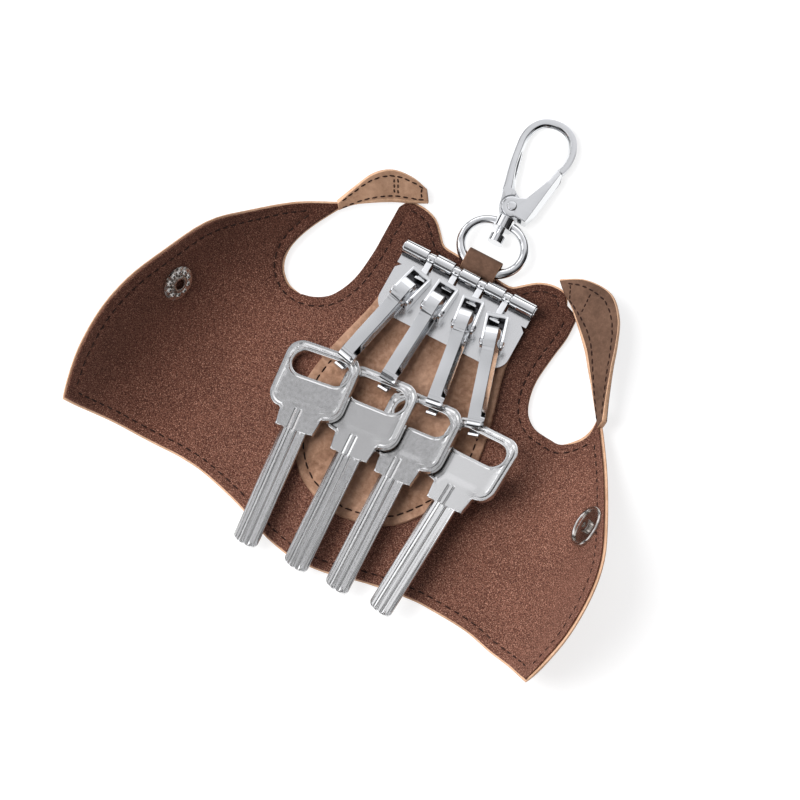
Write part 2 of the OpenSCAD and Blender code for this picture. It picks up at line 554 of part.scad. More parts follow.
// Swivel clip, in its own frame: origin in the ring's lower bar, +Y along the clip
clip_turn = 6;                          // turn of the clip on the table, in degrees
clip_dip = 3.7;                         // slope of the clip from the loop down to the table, in degrees
module clip_frame() {
  translate([loop_x + 1.1, row_y + loop_bar_y + loop_play, loop_z]) rotate([0, 0, clip_turn]) rotate([-clip_dip, 0, 0])
    children();
}
ring_end_r = ring_h / 2 - wire_r;       // middle of the wire at the ring's round ends
ring_flat = ring_w / 2 - wire_r - ring_end_r;
post_r = 1.3;
post_boss_r = 2.7;
boss_l = 3.2;
module swivel_ring() {
  color([0.85, 0.85, 0.87]) clip_frame() translate([0, ring_end_r, 0]) difference() {
    union() {
      for (m = [0, 1]) mirror([m, 0, 0]) translate([ring_flat, 0, 0]) rotate([0, 0, -90]) rotate_extrude(angle = 180)
        translate([ring_end_r, 0]) circle(wire_r);
      for (s = [-1, 1]) translate([-ring_flat, s * ring_end_r, 0]) rotate([0, 90, 0]) cylinder(r = wire_r, h = 2 * ring_flat);
      translate([0, ring_end_r - boss_l / 2, 0]) rotate([-90, 0, 0]) cylinder(r = post_boss_r, h = boss_l);
    }
    translate([0, ring_end_r - boss_l, 0]) rotate([-90, 0, 0]) cylinder(r = post_r + skin, h = 2 * boss_l);
  }
}
boss_top = 2 * ring_end_r + boss_l / 2;
boss_low = 2 * ring_end_r - boss_l / 2;
post_head_r = 2.4;
post_head_t = 1.3;
gate_pivot_y = boss_top + 3.6;
bow_x = 2.1;                            // middle of the clip's bow, off its axis
head_drop = 2.4;                        // gap between the ring's boss and the post's head
bow_y = gate_pivot_y + clip_l;
arm_turn = 9;                         // lean of the fixed arm, in degrees
bow_wire_r = 1.15;
nose_turn = 30;                         // end of the nose below the level, in degrees
clip_pin_r = 1;
cheek_gap = 3.4;                        // middle of the body between the gate's two cheeks
arm_foot = [-3.1, gate_pivot_y + 3.6];
function bow_pt(a) = [bow_x, bow_y] + clip_bow_r * [cos(a), sin(a)];
module clip_body() {
  color([0.86, 0.86, 0.88]) clip_frame() difference() {
    union() {
      translate([0, boss_low - head_drop - post_head_t, 0]) rotate([-90, 0, 0])
        cylinder(r = post_head_r, h = post_head_t);
      translate([0, boss_low - head_drop - over / 2, 0]) rotate([-90, 0, 0])
        cylinder(r = post_r, h = boss_l + head_drop + over * 1.5);
      translate([0, boss_top + 0.25, 0]) rotate([-90, 0, 0]) cylinder(r = post_boss_r * 0.66, h = 1.2);
      translate([0, 0, -cheek_gap / 2]) linear_extrude(cheek_gap) body_outline();
      translate([0, 0, -clip_t / 2]) linear_extrude(clip_t) difference() {
        body_outline();
        translate([0, gate_pivot_y]) circle(gate_eye + 0.35);
        polygon([[0, gate_pivot_y - gate_eye], [clip_t * 3, gate_pivot_y - gate_eye], [clip_t * 3, bow_y],
          [-gate_eye * 0.2, bow_y], [-gate_eye * 0.2, gate_pivot_y]]);
      }
      fixed_arm();
    }
    translate([0, gate_pivot_y, -clip_t]) cylinder(r = clip_pin_r, h = 2 * clip_t);
  }
}
gate_eye = 3.1;                         // round eye of the gate about its pivot
module body_outline() {
  polygon([[-2.7, boss_top + 0.6], [2.7, boss_top + 0.6], [3.4, gate_pivot_y - 1.6], [2.2, gate_pivot_y + 2.6],
    [-1.6, gate_pivot_y + 5], [-4.5, gate_pivot_y + 4.4], [-3.5, gate_pivot_y - 1.2]]);
}
module fixed_arm() {
  top = bow_pt(180 + arm_turn);
  run = top - arm_foot;
  translate([arm_foot[0], arm_foot[1], 0]) rotate([-90, 0, atan2(-run[0], run[1])])
    cylinder(r1 = 1.6, r2 = bow_wire_r, h = norm(run));
  translate([bow_x, bow_y, 0]) rotate([0, 0, -nose_turn]) rotate_extrude(angle = 180 + arm_turn + nose_turn)
    translate([clip_bow_r, 0]) circle(bow_wire_r);
}
module clip_gate() {
  nose = bow_pt(-nose_turn) - 0.25 * [sin(nose_turn), cos(nose_turn)];
  side = 1.2;
  color([0.88, 0.88, 0.9]) clip_frame() difference() {
    translate([0, 0, -clip_t / 2]) linear_extrude(clip_t) {
      translate([0, gate_pivot_y]) circle(gate_eye);
      polygon([[gate_eye * 0.6, gate_pivot_y - gate_eye * 0.8], [gate_eye * 1.8, gate_pivot_y - gate_eye * 0.9],
        [gate_eye * 2.3, gate_pivot_y + gate_eye * 0.1], [nose[0] + side * 1.1, nose[1] - side * 2.4],
        [nose[0] + side * 0.85, nose[1] - side * 0.55], [nose[0] - side * 0.9, nose[1] + side * 0.45],
        [nose[0] - side * 1.5, nose[1] - side * 3], [gate_eye * 0.9, gate_pivot_y + gate_eye * 1.3],
        [gate_eye * 0.2, gate_pivot_y + gate_eye * 0.98]]);
    }
    // channel that straddles the body, and slimmer sides towards the nose
    translate([-gate_eye - over, gate_pivot_y - gate_eye - over, -cheek_gap / 2 - 0.15])
      cube([2 * gate_eye + 2 * over, 2 * gate_eye + 2.6, cheek_gap + 0.3]);
    for (s = [0, 1]) mirror([0, 0, s]) translate([gate_eye, bow_y, bow_wire_r + 0.1]) rotate([-8, 0, 0])
      translate([-clip_t, -clip_l, 0]) cube([3 * clip_t, clip_l * 2, clip_t]);
    translate([0, gate_pivot_y, -clip_t]) cylinder(r = clip_pin_r + skin, h = 2 * clip_t);
  }
}
module clip_rivet() {
  color([0.8, 0.8, 0.82]) clip_frame() translate([0, gate_pivot_y, 0]) {
    translate([0, 0, -clip_t / 2 - 0.1]) cylinder(r = clip_pin_r, h = clip_t + 0.2);
    for (s = [0, 1]) mirror([0, 0, s]) translate([0, 0, clip_t / 2 + 0.1]) cylinder(r1 = 1.5, r2 = 1.2, h = 0.35);
  }
}
// Torsion spring's leg between the body and the gate's channel
module clip_spring() {
  color([0.7, 0.71, 0.74]) clip_frame() translate([0, gate_pivot_y, -0.4]) linear_extrude(0.8)
    polygon([[1.7, 3.2], [3.1, 4.2], [2.9, 4.55], [1.3, 3.5]]);
}

// Snap fastener, seated square on the curled fronts
snap_share = [0.87, 0.518];             // place of both snaps
snap_hole_r = 1.6;
function snap_x(side) = snap_share[0] * front_reach;
snap_y = neck_y - snap_share[1] * panel_h;
// Depth of a place outward from the fold line, and the sheet's slope and height there
function snap_d(side) = ((snap_x(side) - fold_x(side)) * cos(fold_lean) - (fold_y - snap_y) * sin(fold_lean));
function snap_along(side) = -(fold_y - snap_y) * cos(fold_lean) - (snap_x(side) - fold_x(side)) * sin(fold_lean);
function snap_tilt(side) = min(asin(min(snap_d(side) / curl_r(side), 1)), curl_turn(side));
function snap_rise(side) = let (r = curl_r(side), t = snap_tilt(side), extra = max(snap_d(side) - r * sin(t), 0))
  r - r * cos(t) + extra * tan(t);
// Frame on a snap's place: +Z out of the lining, origin on the outer leather's face
module at_snap(side) {
  mirror([side == "left" ? 1 : 0, 0, 0]) at_fold(side) translate([snap_d(side), snap_along(side), snap_rise(side)])
    rotate([0, -snap_tilt(side), 0]) children();
}
module snap_hole() { translate([0, 0, -curl_left_r / 4]) cylinder(r = snap_hole_r + skin, h = curl_left_r / 2); }
// Flat seat that the setting tool presses into the lining round a snap
module snap_seat(d) { translate([0, 0, lining_top + sink - skin]) cylinder(r = d / 2 + skin, h = patch_t); }
petals = 10;
socket_t = 0.9;
sink = 0.25;                            // gap that lets a flat ring seat on the curved sheet
module snap_socket() {
  color([0.75, 0.73, 0.7]) at_snap("left") translate([0, 0, lining_top + sink]) difference() {
    union() {
      cylinder(r = socket_d / 2, h = socket_t * 0.5);
      intersection() {
        for (k = [0 : petals - 1]) rotate([0, 0, k * 360 / petals]) translate([socket_d * 0.34, 0, socket_t * 0.5])
          sphere(r = socket_d * 0.085, $fn = 24);
        cylinder(r = socket_d / 2, h = socket_t * 2);
      }
      cylinder(r = socket_d * 0.24, h = socket_t * 1.4);
    }
    translate([0, 0, -over]) cylinder(r = socket_d * 0.15, h = socket_t * 2 + over);
  }
}
module snap_cap() {
  color([0.72, 0.7, 0.67]) at_snap("left") {
    translate([0, 0, -sink - 1]) cylinder(r1 = socket_d * 0.42, r2 = socket_d * 0.5, h = 1);
    translate([0, 0, -sink]) cylinder(r = snap_hole_r, h = lining_top + sink);
  }
}
stud_rim = 0.55;
module snap_post() {
  color([0.55, 0.55, 0.57]) at_snap("right") translate([0, 0, lining_top + sink]) difference() {
    union() {
      cylinder(r = stud_d / 2, h = 0.4);
      rotate_extrude() translate([stud_d / 2 - stud_rim, stud_rim]) circle(stud_rim, $fn = 24);
      cylinder(r = snap_hole_r * 1.25, h = 1.3);
      translate([0, 0, -sink - lining_top]) cylinder(r = snap_hole_r, h = sink + lining_top);
    }
    translate([0, 0, -lining_top]) cylinder(r = snap_hole_r * 0.55, h = lining_top * 3);
  }
}
module snap_stud() {
  color([0.7, 0.68, 0.65]) at_snap("right") translate([0, 0, -sink]) rotate([180, 0, 0]) {
    cylinder(r = stud_d * 0.42, h = 0.5);
    translate([0, 0, 0.5]) cylinder(r = stud_d * 0.135, h = 1.6);
    translate([0, 0, 1.6]) cylinder(r1 = stud_d * 0.16, r2 = stud_d * 0.145, h = 0.9);
  }
}

back_leather();
back_lining();
key_patch();
neck_loop();
left_front_leather();
left_front_lining();
right_front_leather();
right_front_lining();
left_strap();
right_strap();
hook_plate();
hook_rod();
plate_rivets();
for (i = HOOKS) hook_link(i);
for (i = HOOKS) hook_frame(i);
for (i = HOOKS) hook_pin(i);
for (i = HOOKS) hook_gate(i);
for (i = HOOKS) hook_spring(i);
for (i = HOOKS) key(i);
swivel_ring();
clip_body();
clip_gate();
clip_rivet();
clip_spring();
snap_socket();
snap_cap();
snap_stud();
snap_post();
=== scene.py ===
"""Dresses the open leather key case: suede-lined leather shells, straps, patch and loop with their
stitching, plated hook row, key blanks, snaps and swivel clip. Lengths are millimetres here and metres in
Blender."""
import bpy
import bmesh
import math
import random
import numpy as np
from mathutils import Matrix, Vector
from mathutils.geometry import delaunay_2d_cdt


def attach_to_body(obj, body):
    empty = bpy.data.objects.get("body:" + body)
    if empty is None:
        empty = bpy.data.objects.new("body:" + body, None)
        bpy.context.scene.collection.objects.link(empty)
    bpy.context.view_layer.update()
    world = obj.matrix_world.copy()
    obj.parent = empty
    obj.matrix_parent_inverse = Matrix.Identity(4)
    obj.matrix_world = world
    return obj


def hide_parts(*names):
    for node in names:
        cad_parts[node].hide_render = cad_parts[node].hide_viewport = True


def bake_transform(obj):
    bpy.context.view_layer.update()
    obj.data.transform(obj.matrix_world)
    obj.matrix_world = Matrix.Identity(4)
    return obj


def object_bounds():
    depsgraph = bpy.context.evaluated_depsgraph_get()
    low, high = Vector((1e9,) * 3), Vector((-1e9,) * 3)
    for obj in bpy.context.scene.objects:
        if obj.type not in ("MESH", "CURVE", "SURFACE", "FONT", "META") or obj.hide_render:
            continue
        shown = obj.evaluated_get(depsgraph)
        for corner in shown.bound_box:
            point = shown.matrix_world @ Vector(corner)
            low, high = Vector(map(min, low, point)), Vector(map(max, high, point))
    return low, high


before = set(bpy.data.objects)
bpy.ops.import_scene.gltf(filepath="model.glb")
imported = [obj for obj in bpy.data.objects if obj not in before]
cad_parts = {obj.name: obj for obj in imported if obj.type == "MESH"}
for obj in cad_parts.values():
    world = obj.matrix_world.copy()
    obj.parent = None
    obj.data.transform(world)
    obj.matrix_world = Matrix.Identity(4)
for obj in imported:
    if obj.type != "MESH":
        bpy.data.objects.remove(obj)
CAD_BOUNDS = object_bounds()
MM = 0.001
rng = random.Random(8)
SCENE = bpy.context.scene
VIEW_WAY, AIM_AT = (0.134, -0.221, 0.966), (2.0, 3.1, 0.0)

# ---- sizes shared with the CAD source
PANEL_H = 101.0
FRONT_REACH = 80.5
NECK_Y = PANEL_H * 0.478
FOLD_LEAN = math.radians(8)
LEAN_COS, LEAN_SIN = math.cos(FOLD_LEAN), math.sin(FOLD_LEAN)
FOLD_Y = NECK_Y - 0.33 * PANEL_H
HEM_Y = NECK_Y - 0.917 * PANEL_H
FOLD_X = {"left": 39.0, "right": 44.5}
CURL_R = {"left": 33.0, "right": 27.0}
CURL_TURN = {"left": math.radians(58), "right": math.radians(62)}
SIGN = {"left": -1, "right": 1}
LEATHER_T = 1.2
TOTAL_T = 2.0
PATCH_T = 1.2
PATCH_TOP = TOTAL_T + PATCH_T
ROW_X = 0.8
ROW_Y = NECK_Y - 5.6
ROW_TURN = math.radians(3)
ROW_COS, ROW_SIN = math.cos(ROW_TURN), math.sin(ROW_TURN)

# Plan outlines: across in shares of FRONT_REACH, down from the neck edge in shares of PANEL_H
EAR = {"left": [[0.118, 0], [0.143, -0.005], [0.171, -0.028], [0.215, -0.058], [0.273, -0.070],
                [0.33, -0.064], [0.352, -0.033]],
       "right": [[0.118, 0.004], [0.147, 0.001], [0.175, -0.019], [0.218, -0.049], [0.273, -0.065],
                 [0.325, -0.061], [0.35, -0.033]]}
ARM_INNER = {"left": [[0.352, -0.033], [0.346, 0.056], [0.342, 0.125], [0.35, 0.215], [0.385, 0.285],
                      [0.435, 0.318], [0.4845, 0.33]],
             "right": [[0.35, -0.033], [0.36, 0.047], [0.353, 0.118], [0.35, 0.213], [0.379, 0.289],
                       [0.43, 0.324], [0.4845, 0.33]]}
ARM_OUTER = {"left": [[0, 0.33], [0.055, 0.322], [0.103, 0.285], [0.117, 0.225], [0.093, 0.148],
                      [0.034, 0.044]],
             "right": [[0, 0.33], [0.043, 0.326], [0.095, 0.28], [0.108, 0.234], [0.1, 0.196]]}
CORNER = {"left": [[0.534, 0.040], [0.669, 0.118], [0.786, 0.229], [0.873, 0.338]],
          "right": [[0.647, 0.18], [0.676, 0.212], [0.718, 0.2545], [0.81, 0.359]]}
EDGE = {"left": [[0.937, 0.486], [0.984, 0.61], [1.005, 0.722], [1.003, 0.846], [0.983, 0.94],
                 [0.968, 0.979]],
        "right": [[0.912, 0.497], [0.982, 0.612], [1.013, 0.722], [1.014, 0.843], [0.983, 0.943],
                  [0.951, 0.992]]}
HEM_FRONT = {"left": [[0.968, 0.979], [0.865, 0.95], [0.762, 0.931]],
             "right": [[0.951, 0.992], [0.86, 0.964], [0.76, 0.946]]}
HEM_BACK = {"left": [[0.52, 0.915], [0.43, 0.92], [0.27, 0.948], [0.12, 0.988], [0, 1.003]],
            "right": [[0.52, 0.927], [0.43, 0.931], [0.27, 0.955], [0.12, 0.99], [0, 1.003]]}
# Each strap's inner and outer edge: across and up in the same shares, and height in shares of STRAP_W
STRAP = {
    "left": [
        [[-0.266, 0.081, 0.25], [-0.298, 0.113, 0.36]], [[-0.318, 0.054, 0.31], [-0.355, 0.116, 0.59]],
        [[-0.37, 0.028, 0.45], [-0.427, 0.1, 0.82]], [[-0.425, -0.006, 0.59], [-0.477, 0.056, 1.0]],
        [[-0.48, -0.038, 0.55], [-0.51, -0.004, 0.91]], [[-0.525, -0.07, 0.41], [-0.539, -0.058, 0.68]]],
    "right": [
        [[0.346, 0.045, 0.27], [0.285, 0.083, 0.36]], [[0.401, 0.003, 0.45], [0.371, 0.111, 0.64]],
        [[0.461, -0.044, 0.68], [0.476, 0.103, 1.0]], [[0.505, -0.08, 0.82], [0.549, 0.05, 1.18]],
        [[0.546, -0.119, 0.86], [0.594, -0.02, 1.27]], [[0.593, -0.162, 0.86], [0.626, -0.088, 1.32]],
        [[0.645, -0.209, 0.82], [0.662, -0.159, 1.27]], [[0.692, -0.246, 0.73], [0.7, -0.229, 1.14]]]}
STRAP_W = 11.0
STRAP_T = 1.6
STRAP_DROP = {"left": (1.0, 2.9), "right": (1.0, 4.8)}
DROP_WAY = -np.array(VIEW_WAY)


# ---- curves and plan outlines
def curve(points, steps=4):
    """Catmull-Rom curve through the points, as in the CAD source."""
    p = np.array(points, float)
    n = len(p)
    out = []
    for i in range(n - 1):
        a, b, c, d = p[max(i - 1, 0)], p[i], p[i + 1], p[min(i + 2, n - 1)]
        for k in range(steps):
            t = k / steps
            out.append(0.5 * (2 * b + (c - a) * t + (2 * a - 5 * b + 4 * c - d) * t ** 2
                              + (3 * b - a - 3 * c + d) * t ** 3))
    out.append(p[-1])
    return np.array(out)


def columns(*values):
    return np.stack(values, axis=1)


def outline(share, shift=0.0):
    return [[s[0] * FRONT_REACH + shift, NECK_Y - s[1] * PANEL_H] for s in share]


def resample(points, step, closed=False):
    """Points evenly spaced along a polyline; both ends are kept where it is open."""
    p = np.array(points, float)
    if closed:
        p = np.vstack([p, p[:1]])
    seg = np.linalg.norm(np.diff(p, axis=0), axis=1)
    at = np.concatenate([[0], np.cumsum(seg)])
    n = max(int(round(at[-1] / step)), 1)
    s = np.linspace(0, at[-1], n + 1)
    q = np.stack([np.interp(s, at, p[:, k]) for k in range(p.shape[1])], axis=1)
    return q[:-1] if closed else q


def fold_at(side, y):
    return FOLD_X[side] + (FOLD_Y - y) * math.tan(FOLD_LEAN)


ARM_SHIFT = {"left": 0, "right": (FOLD_X["right"] - FOLD_X["left"]) * 0.75}
HEM_SAG = {"left": 0, "right": 1.2}


def half_outline(side, step):
    """Plan outline of one half of the body, drawn on the right-hand side, and which of its edges lie on
    the middle line, where the two halves meet."""
    hem = [[fold_at(side, HEM_Y), HEM_Y - HEM_SAG[side]]]
    runs = [np.vstack([[[0, NECK_Y]], curve(outline(EAR[side]))]),
            curve(outline(ARM_INNER[side], ARM_SHIFT[side]) + [[FOLD_X[side], FOLD_Y]])[1:],
            curve(outline(ARM_OUTER[side], FOLD_X[side]))[1:],
            curve(outline(CORNER[side] + EDGE[side])),
            curve(outline(HEM_FRONT[side]) + hem + outline(HEM_BACK[side]))]
    pts = []
    for run in runs:
        q = resample(run, step)
        if pts and np.linalg.norm(np.array(pts[-1]) - q[0]) < 0.05:
            q = q[1:]
        pts += [list(v) for v in q]
    seam = resample([pts[-1], pts[0]], step * 2)[1:-1]
    flags = [False] * (len(pts) - 1) + [True] * (len(seam) + 1)
    return np.vstack([pts, seam]), np.array(flags)


# ---- plan distance and triangulation
CHUNK = 200
ROW_GAP = 0.866


def chunks(a, b):
    for k in range(0, len(a), CHUNK):
        yield a[k:k + CHUNK], b[k:k + CHUNK]


def edge_distance(q, a, b):
    """Distance from each point of q to the nearest of the segments a-b."""
    best = np.full(len(q), 1e9)
    for ak, bk in chunks(a, b):
        d = bk - ak
        rel = q[:, None, :] - ak[None]
        t = np.clip((rel * d).sum(2) / np.maximum((d * d).sum(1), 1e-12), 0, 1)
        gap = rel - t[..., None] * d[None]
        best = np.minimum(best, np.sqrt((gap ** 2).sum(2)).min(1))
    return best


def inside(q, loops):
    """Even-odd test of points against closed loops."""
    hit = np.zeros(len(q), int)
    for loop in loops:
        for ak, bk in chunks(loop, np.roll(loop, -1, axis=0)):
            up = (ak[None, :, 1] > q[:, None, 1]) != (bk[None, :, 1] > q[:, None, 1])
            dy = bk[:, 1] - ak[:, 1]
            dy = np.where(np.abs(dy) < 1e-12, 1e-12, dy)
            x = ak[:, 0] + (q[:, None, 1] - ak[None, :, 1]) / dy * (bk[:, 0] - ak[:, 0])
            hit += (up & (q[:, None, 0] < x)).sum(1)
    return hit % 2 == 1


def turn_area(loop):
    """Twice the area of a closed loop, negative where it runs clockwise."""
    return (loop[:, 0] * np.roll(loop[:, 1], -1) - np.roll(loop[:, 0], -1) * loop[:, 1]).sum()


def loop_normals(loop):
    """Outward normals of a closed loop, whichever way it runs round."""
    d = np.roll(loop, -1, axis=0) - np.roll(loop, 1, axis=0)
    n = columns(d[:, 1], -d[:, 0])
    n /= np.maximum(np.linalg.norm(n, axis=1, keepdims=True), 1e-9)
    return n if turn_area(loop) > 0 else -n


def fill(loops, step, insets, flags=None, guides=(), lines=()):
    """Triangles over the area inside the loops: (points, triangles, boundary index lists, distance to
    the rim). insets are distances from the rim at which rows of points follow it, guides more points to
    mesh through, lines pairs of points that edges run between, and flags mark seam edges, which are no
    rim."""
    loops = [np.array(l, float) for l in loops]
    a = np.vstack(loops)
    b = np.vstack([np.roll(l, -1, axis=0) for l in loops])
    rim = np.ones(len(a), bool) if flags is None else ~flags
    extra = []
    for inset in insets:
        for k, loop in enumerate(loops):
            hole = -1 if k else 1
            q = loop - loop_normals(loop) * inset * hole
            q = q[inside(q, loops)]
            if len(q):
                q = q[edge_distance(q, a[rim], b[rim]) > inset * 0.96]
                q = q[edge_distance(q, a, b) > min(inset * 0.9, 0.3 * step)]
                extra.append(q)
    lo, hi = a.min(0), a.max(0)
    rows = []
    for j in range(int((hi[1] - lo[1]) / (step * ROW_GAP)) + 1):
        x = np.arange(lo[0] + (j % 2) * step / 2, hi[0], step)
        rows.append(columns(x, np.full(len(x), lo[1] + j * step * ROW_GAP)))
    grid = np.vstack(rows)
    grid = grid[inside(grid, loops)]
    grid = grid[edge_distance(grid, a[rim], b[rim]) > max(insets) + step * 0.5]
    grid = grid[edge_distance(grid, a, b) > step * 0.45]
    if len(guides):
        guide = np.array(guides, float)
        guide = guide[inside(guide, loops)]
        guide = guide[edge_distance(guide, a, b) > step * 0.2]
        near = np.array([((guide - g) ** 2).sum(1).min() for g in grid])
        grid = grid[near > (0.45 * step) ** 2]
        extra.append(guide)
    creases = np.array(lines, float).reshape(-1, 2)
    if len(creases):
        apart = lambda q: edge_distance(q, creases[::2], creases[1::2]) > 0.04
        extra, grid = [q[apart(q)] for q in extra if len(q)], grid[apart(grid)]
    pts = np.vstack([creases, a] + extra + [grid])
    edges = [(2 * i, 2 * i + 1) for i in range(len(creases) // 2)]
    start = len(creases)
    for loop in loops:
        n = len(loop)
        edges += [(start + i, start + (i + 1) % n) for i in range(n)]
        start += n
    verts, _, faces, origin, _, _ = delaunay_2d_cdt([Vector(p) for p in pts], edges, [], 0, 1e-5)
    place = {}
    for new, olds in enumerate(origin):
        for old in olds:
            place[old] = new
    xy = np.array([[v[0], v[1]] for v in verts])
    tri = np.array([f for f in faces if len(f) == 3])
    tri = tri[inside(xy[tri].mean(1), loops)]
    used = np.unique(tri)
    renum = np.full(len(xy), -1)
    renum[used] = np.arange(len(used))
    chains, start = [], len(creases)
    for loop in loops:
        chains.append([int(renum[place[start + i]]) for i in range(len(loop))])
        start += len(loop)
    xy, tri = xy[used], renum[tri]
    return xy, tri, chains, edge_distance(xy, a[rim], b[rim])


def smooth(t):
    t = np.clip(t, 0, 1)
    return t * t * (3 - 2 * t)


def rounding(dist, r):
    """How far a rounded rim of radius r drops at a distance from the edge."""
    d = np.clip(dist, 0, r)
    return r - np.sqrt(np.maximum(r * r - (r - d) ** 2, 0))


# ---- objects
def add(name, mesh, sharp=None):
    """The mesh as a smooth object, with edges sharp above an angle in degrees."""
    mesh.polygons.foreach_set("use_smooth", [True] * len(mesh.polygons))
    mesh.update()
    if sharp:
        mesh.set_sharp_from_angle(angle=math.radians(sharp))
    obj = bpy.data.objects.new(name, mesh)
    SCENE.collection.objects.link(obj)
    return obj


def new_object(name, verts, faces, materials, index=0, sharp=None):
    mesh = bpy.data.meshes.new(name)
    mesh.from_pydata([tuple(v) for v in np.asarray(verts) * MM], [],
                     [tuple(int(i) for i in f) for f in faces])
    for m in materials:
        mesh.materials.append(m)
    index = np.broadcast_to(index, len(mesh.polygons)).astype(np.int32)
    mesh.polygons.foreach_set("material_index", index)
    return add(name, mesh, sharp)


def flat_faces(obj):
    """Normals weighted by face area, so that flats stay flat beside their eased edges."""
    weighted = obj.modifiers.new("flats", "WEIGHTED_NORMAL")
    weighted.keep_sharp = True
    weighted.weight = 80


def face_outwards(obj):
    bm = bmesh.new()
    bm.from_mesh(obj.data)
    bmesh.ops.recalc_face_normals(bm, faces=bm.faces)
    bm.to_mesh(obj.data)
    bm.free()


def attach(obj, body, slot, *nodes):
    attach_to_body(obj, body)
    if nodes:
        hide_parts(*nodes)
    return obj


def bend(obj, side, start, end, slot, *nodes):
    """Bakes the piece's transform into its mesh and hides the CAD nodes it stands in for; start and end
    are not used.
    """
    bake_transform(obj)
    if nodes:
        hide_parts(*nodes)


def shell(loops, step, insets, place, top, low, flags=None, wall_rows=1, guides=(), mirror=False,
          lines=()):
    """A closed sheet over plan loops: place(points, depth) maps to space; top and low give depth from
    the points and their rim distance. Returns vertices, faces and each face's part: 0 top, 1 bottom,
    2 edge."""
    xy, tri, chains, dist = fill(loops, step, insets, flags, guides, lines)
    n = len(xy)
    dt, dl = top(xy, dist), low(xy, dist)
    verts = [place(xy, dt), place(xy, dl)]
    a, b, c = xy[tri[:, 0]], xy[tri[:, 1]], xy[tri[:, 2]]
    u, v = b - a, c - a
    turn = u[:, 0] * v[:, 1] - u[:, 1] * v[:, 0]
    tri = np.where(turn[:, None] > 0, tri, tri[:, ::-1])
    faces = [list(t) for t in tri] + [[t[2] + n, t[1] + n, t[0] + n] for t in tri]
    part = [0] * len(tri) + [1] * len(tri)
    count, mark = 2 * n, 0
    for order, chain in enumerate(chains):
        m = len(chain)
        pts = xy[chain]
        keep = (turn_area(pts) > 0) != (order > 0)
        rings = [list(chain)]
        for k in range(1, wall_rows + 1):
            t = k / (wall_rows + 1)
            verts.append(place(pts, dt[chain] * (1 - t) + dl[chain] * t))
            rings.append(list(range(count, count + m)))
            count += m
        rings.append([i + n for i in chain])
        for i in range(m):
            j = (i + 1) % m
            if flags is not None and flags[mark + i]:
                continue
            for up, dn in zip(rings[:-1], rings[1:]):
                quad = [up[i], dn[i], dn[j], up[j]]
                faces.append(quad if keep else quad[::-1])
                part.append(2)
        mark += m
    if mirror:
        faces = [f[::-1] for f in faces]
    return np.vstack(verts), faces, np.array(part)


# ---- materials
def put(tree, socket, value):
    """Links the socket where value is another node's output, and sets it where it is not."""
    if isinstance(value, bpy.types.NodeSocket):
        tree.links.new(value, socket)
    else:
        socket.default_value = value


def wire(tree, node, **sockets):
    for key, value in sockets.items():
        put(tree, node.inputs[key.replace("_", " ")], value)
    return node


def new_node(tree, kind, **sockets):
    return wire(tree, tree.nodes.new(f"ShaderNode{kind}"), **sockets)


def material(name, base, rough, metallic=0.0, **sockets):
    m = bpy.data.materials.new(name)
    m.use_nodes = True
    tree = m.node_tree
    shader = wire(tree, tree.nodes["Principled BSDF"], Base_Color=(*base, 1), Roughness=rough,
                  Metallic=metallic, **sockets)
    return m, tree, shader


def noise(tree, scale, detail=4.0, rough=0.6, distortion=0.0, space="Object"):
    return new_node(tree, "TexNoise", Vector=new_node(tree, "TexCoord").outputs[space], Scale=scale,
                    Detail=detail, Roughness=rough, Distortion=distortion).outputs["Fac"]


def remap(tree, value, low=0.0, high=1.0, to_low=0.0, to_high=1.0):
    return new_node(tree, "MapRange", Value=value, From_Min=low, From_Max=high, To_Min=to_low,
                    To_Max=to_high).outputs["Result"]


def ramp(tree, fac, stops):
    node = new_node(tree, "ValToRGB", Fac=fac)
    el = node.color_ramp.elements
    while len(el) < len(stops):
        el.new(0.5)
    for e, (at, colour) in zip(el, stops):
        e.position = at
        e.color = (*colour, 1)
    return node.outputs["Color"]


def mix(tree, fac, a, b, mode="MIX"):
    """Colour mix, where a and b are colours or other nodes' outputs."""
    node = tree.nodes.new("ShaderNodeMix")
    node.data_type = "RGBA"
    node.blend_type = mode
    for at, value in ((0, fac), (6, a), (7, b)):
        put(tree, node.inputs[at], (*value, 1) if isinstance(value, tuple) else value)
    return node.outputs[2]


def bump(tree, shader, height, strength, distance):
    node = new_node(tree, "Bump", Strength=strength, Distance=distance * MM, Height=height)
    if shader.inputs["Normal"].links:
        wire(tree, node, Normal=shader.inputs["Normal"].links[0].from_socket)
    wire(tree, shader, Normal=node.outputs["Normal"])


def srgb(r, g, b):
    """Linear colour from 0-255 display values."""
    return tuple(((v / 255 + 0.055) / 1.055) ** 2.4 if v > 10 else v / 255 / 12.92 for v in (r, g, b))


WHITE, BLACK = (1, 1, 1), (0, 0, 0)
# Painted shade on the suede, darker towards the neck and towards the left: axis, start and end in metres,
# and the shade at the end
PAINTED_SHADE_FALLOFF = (("Y", 0.006, 0.04, (0.5, 0.47, 0.46)), ("X", -0.02, -0.055, (0.83, 0.79, 0.78)))


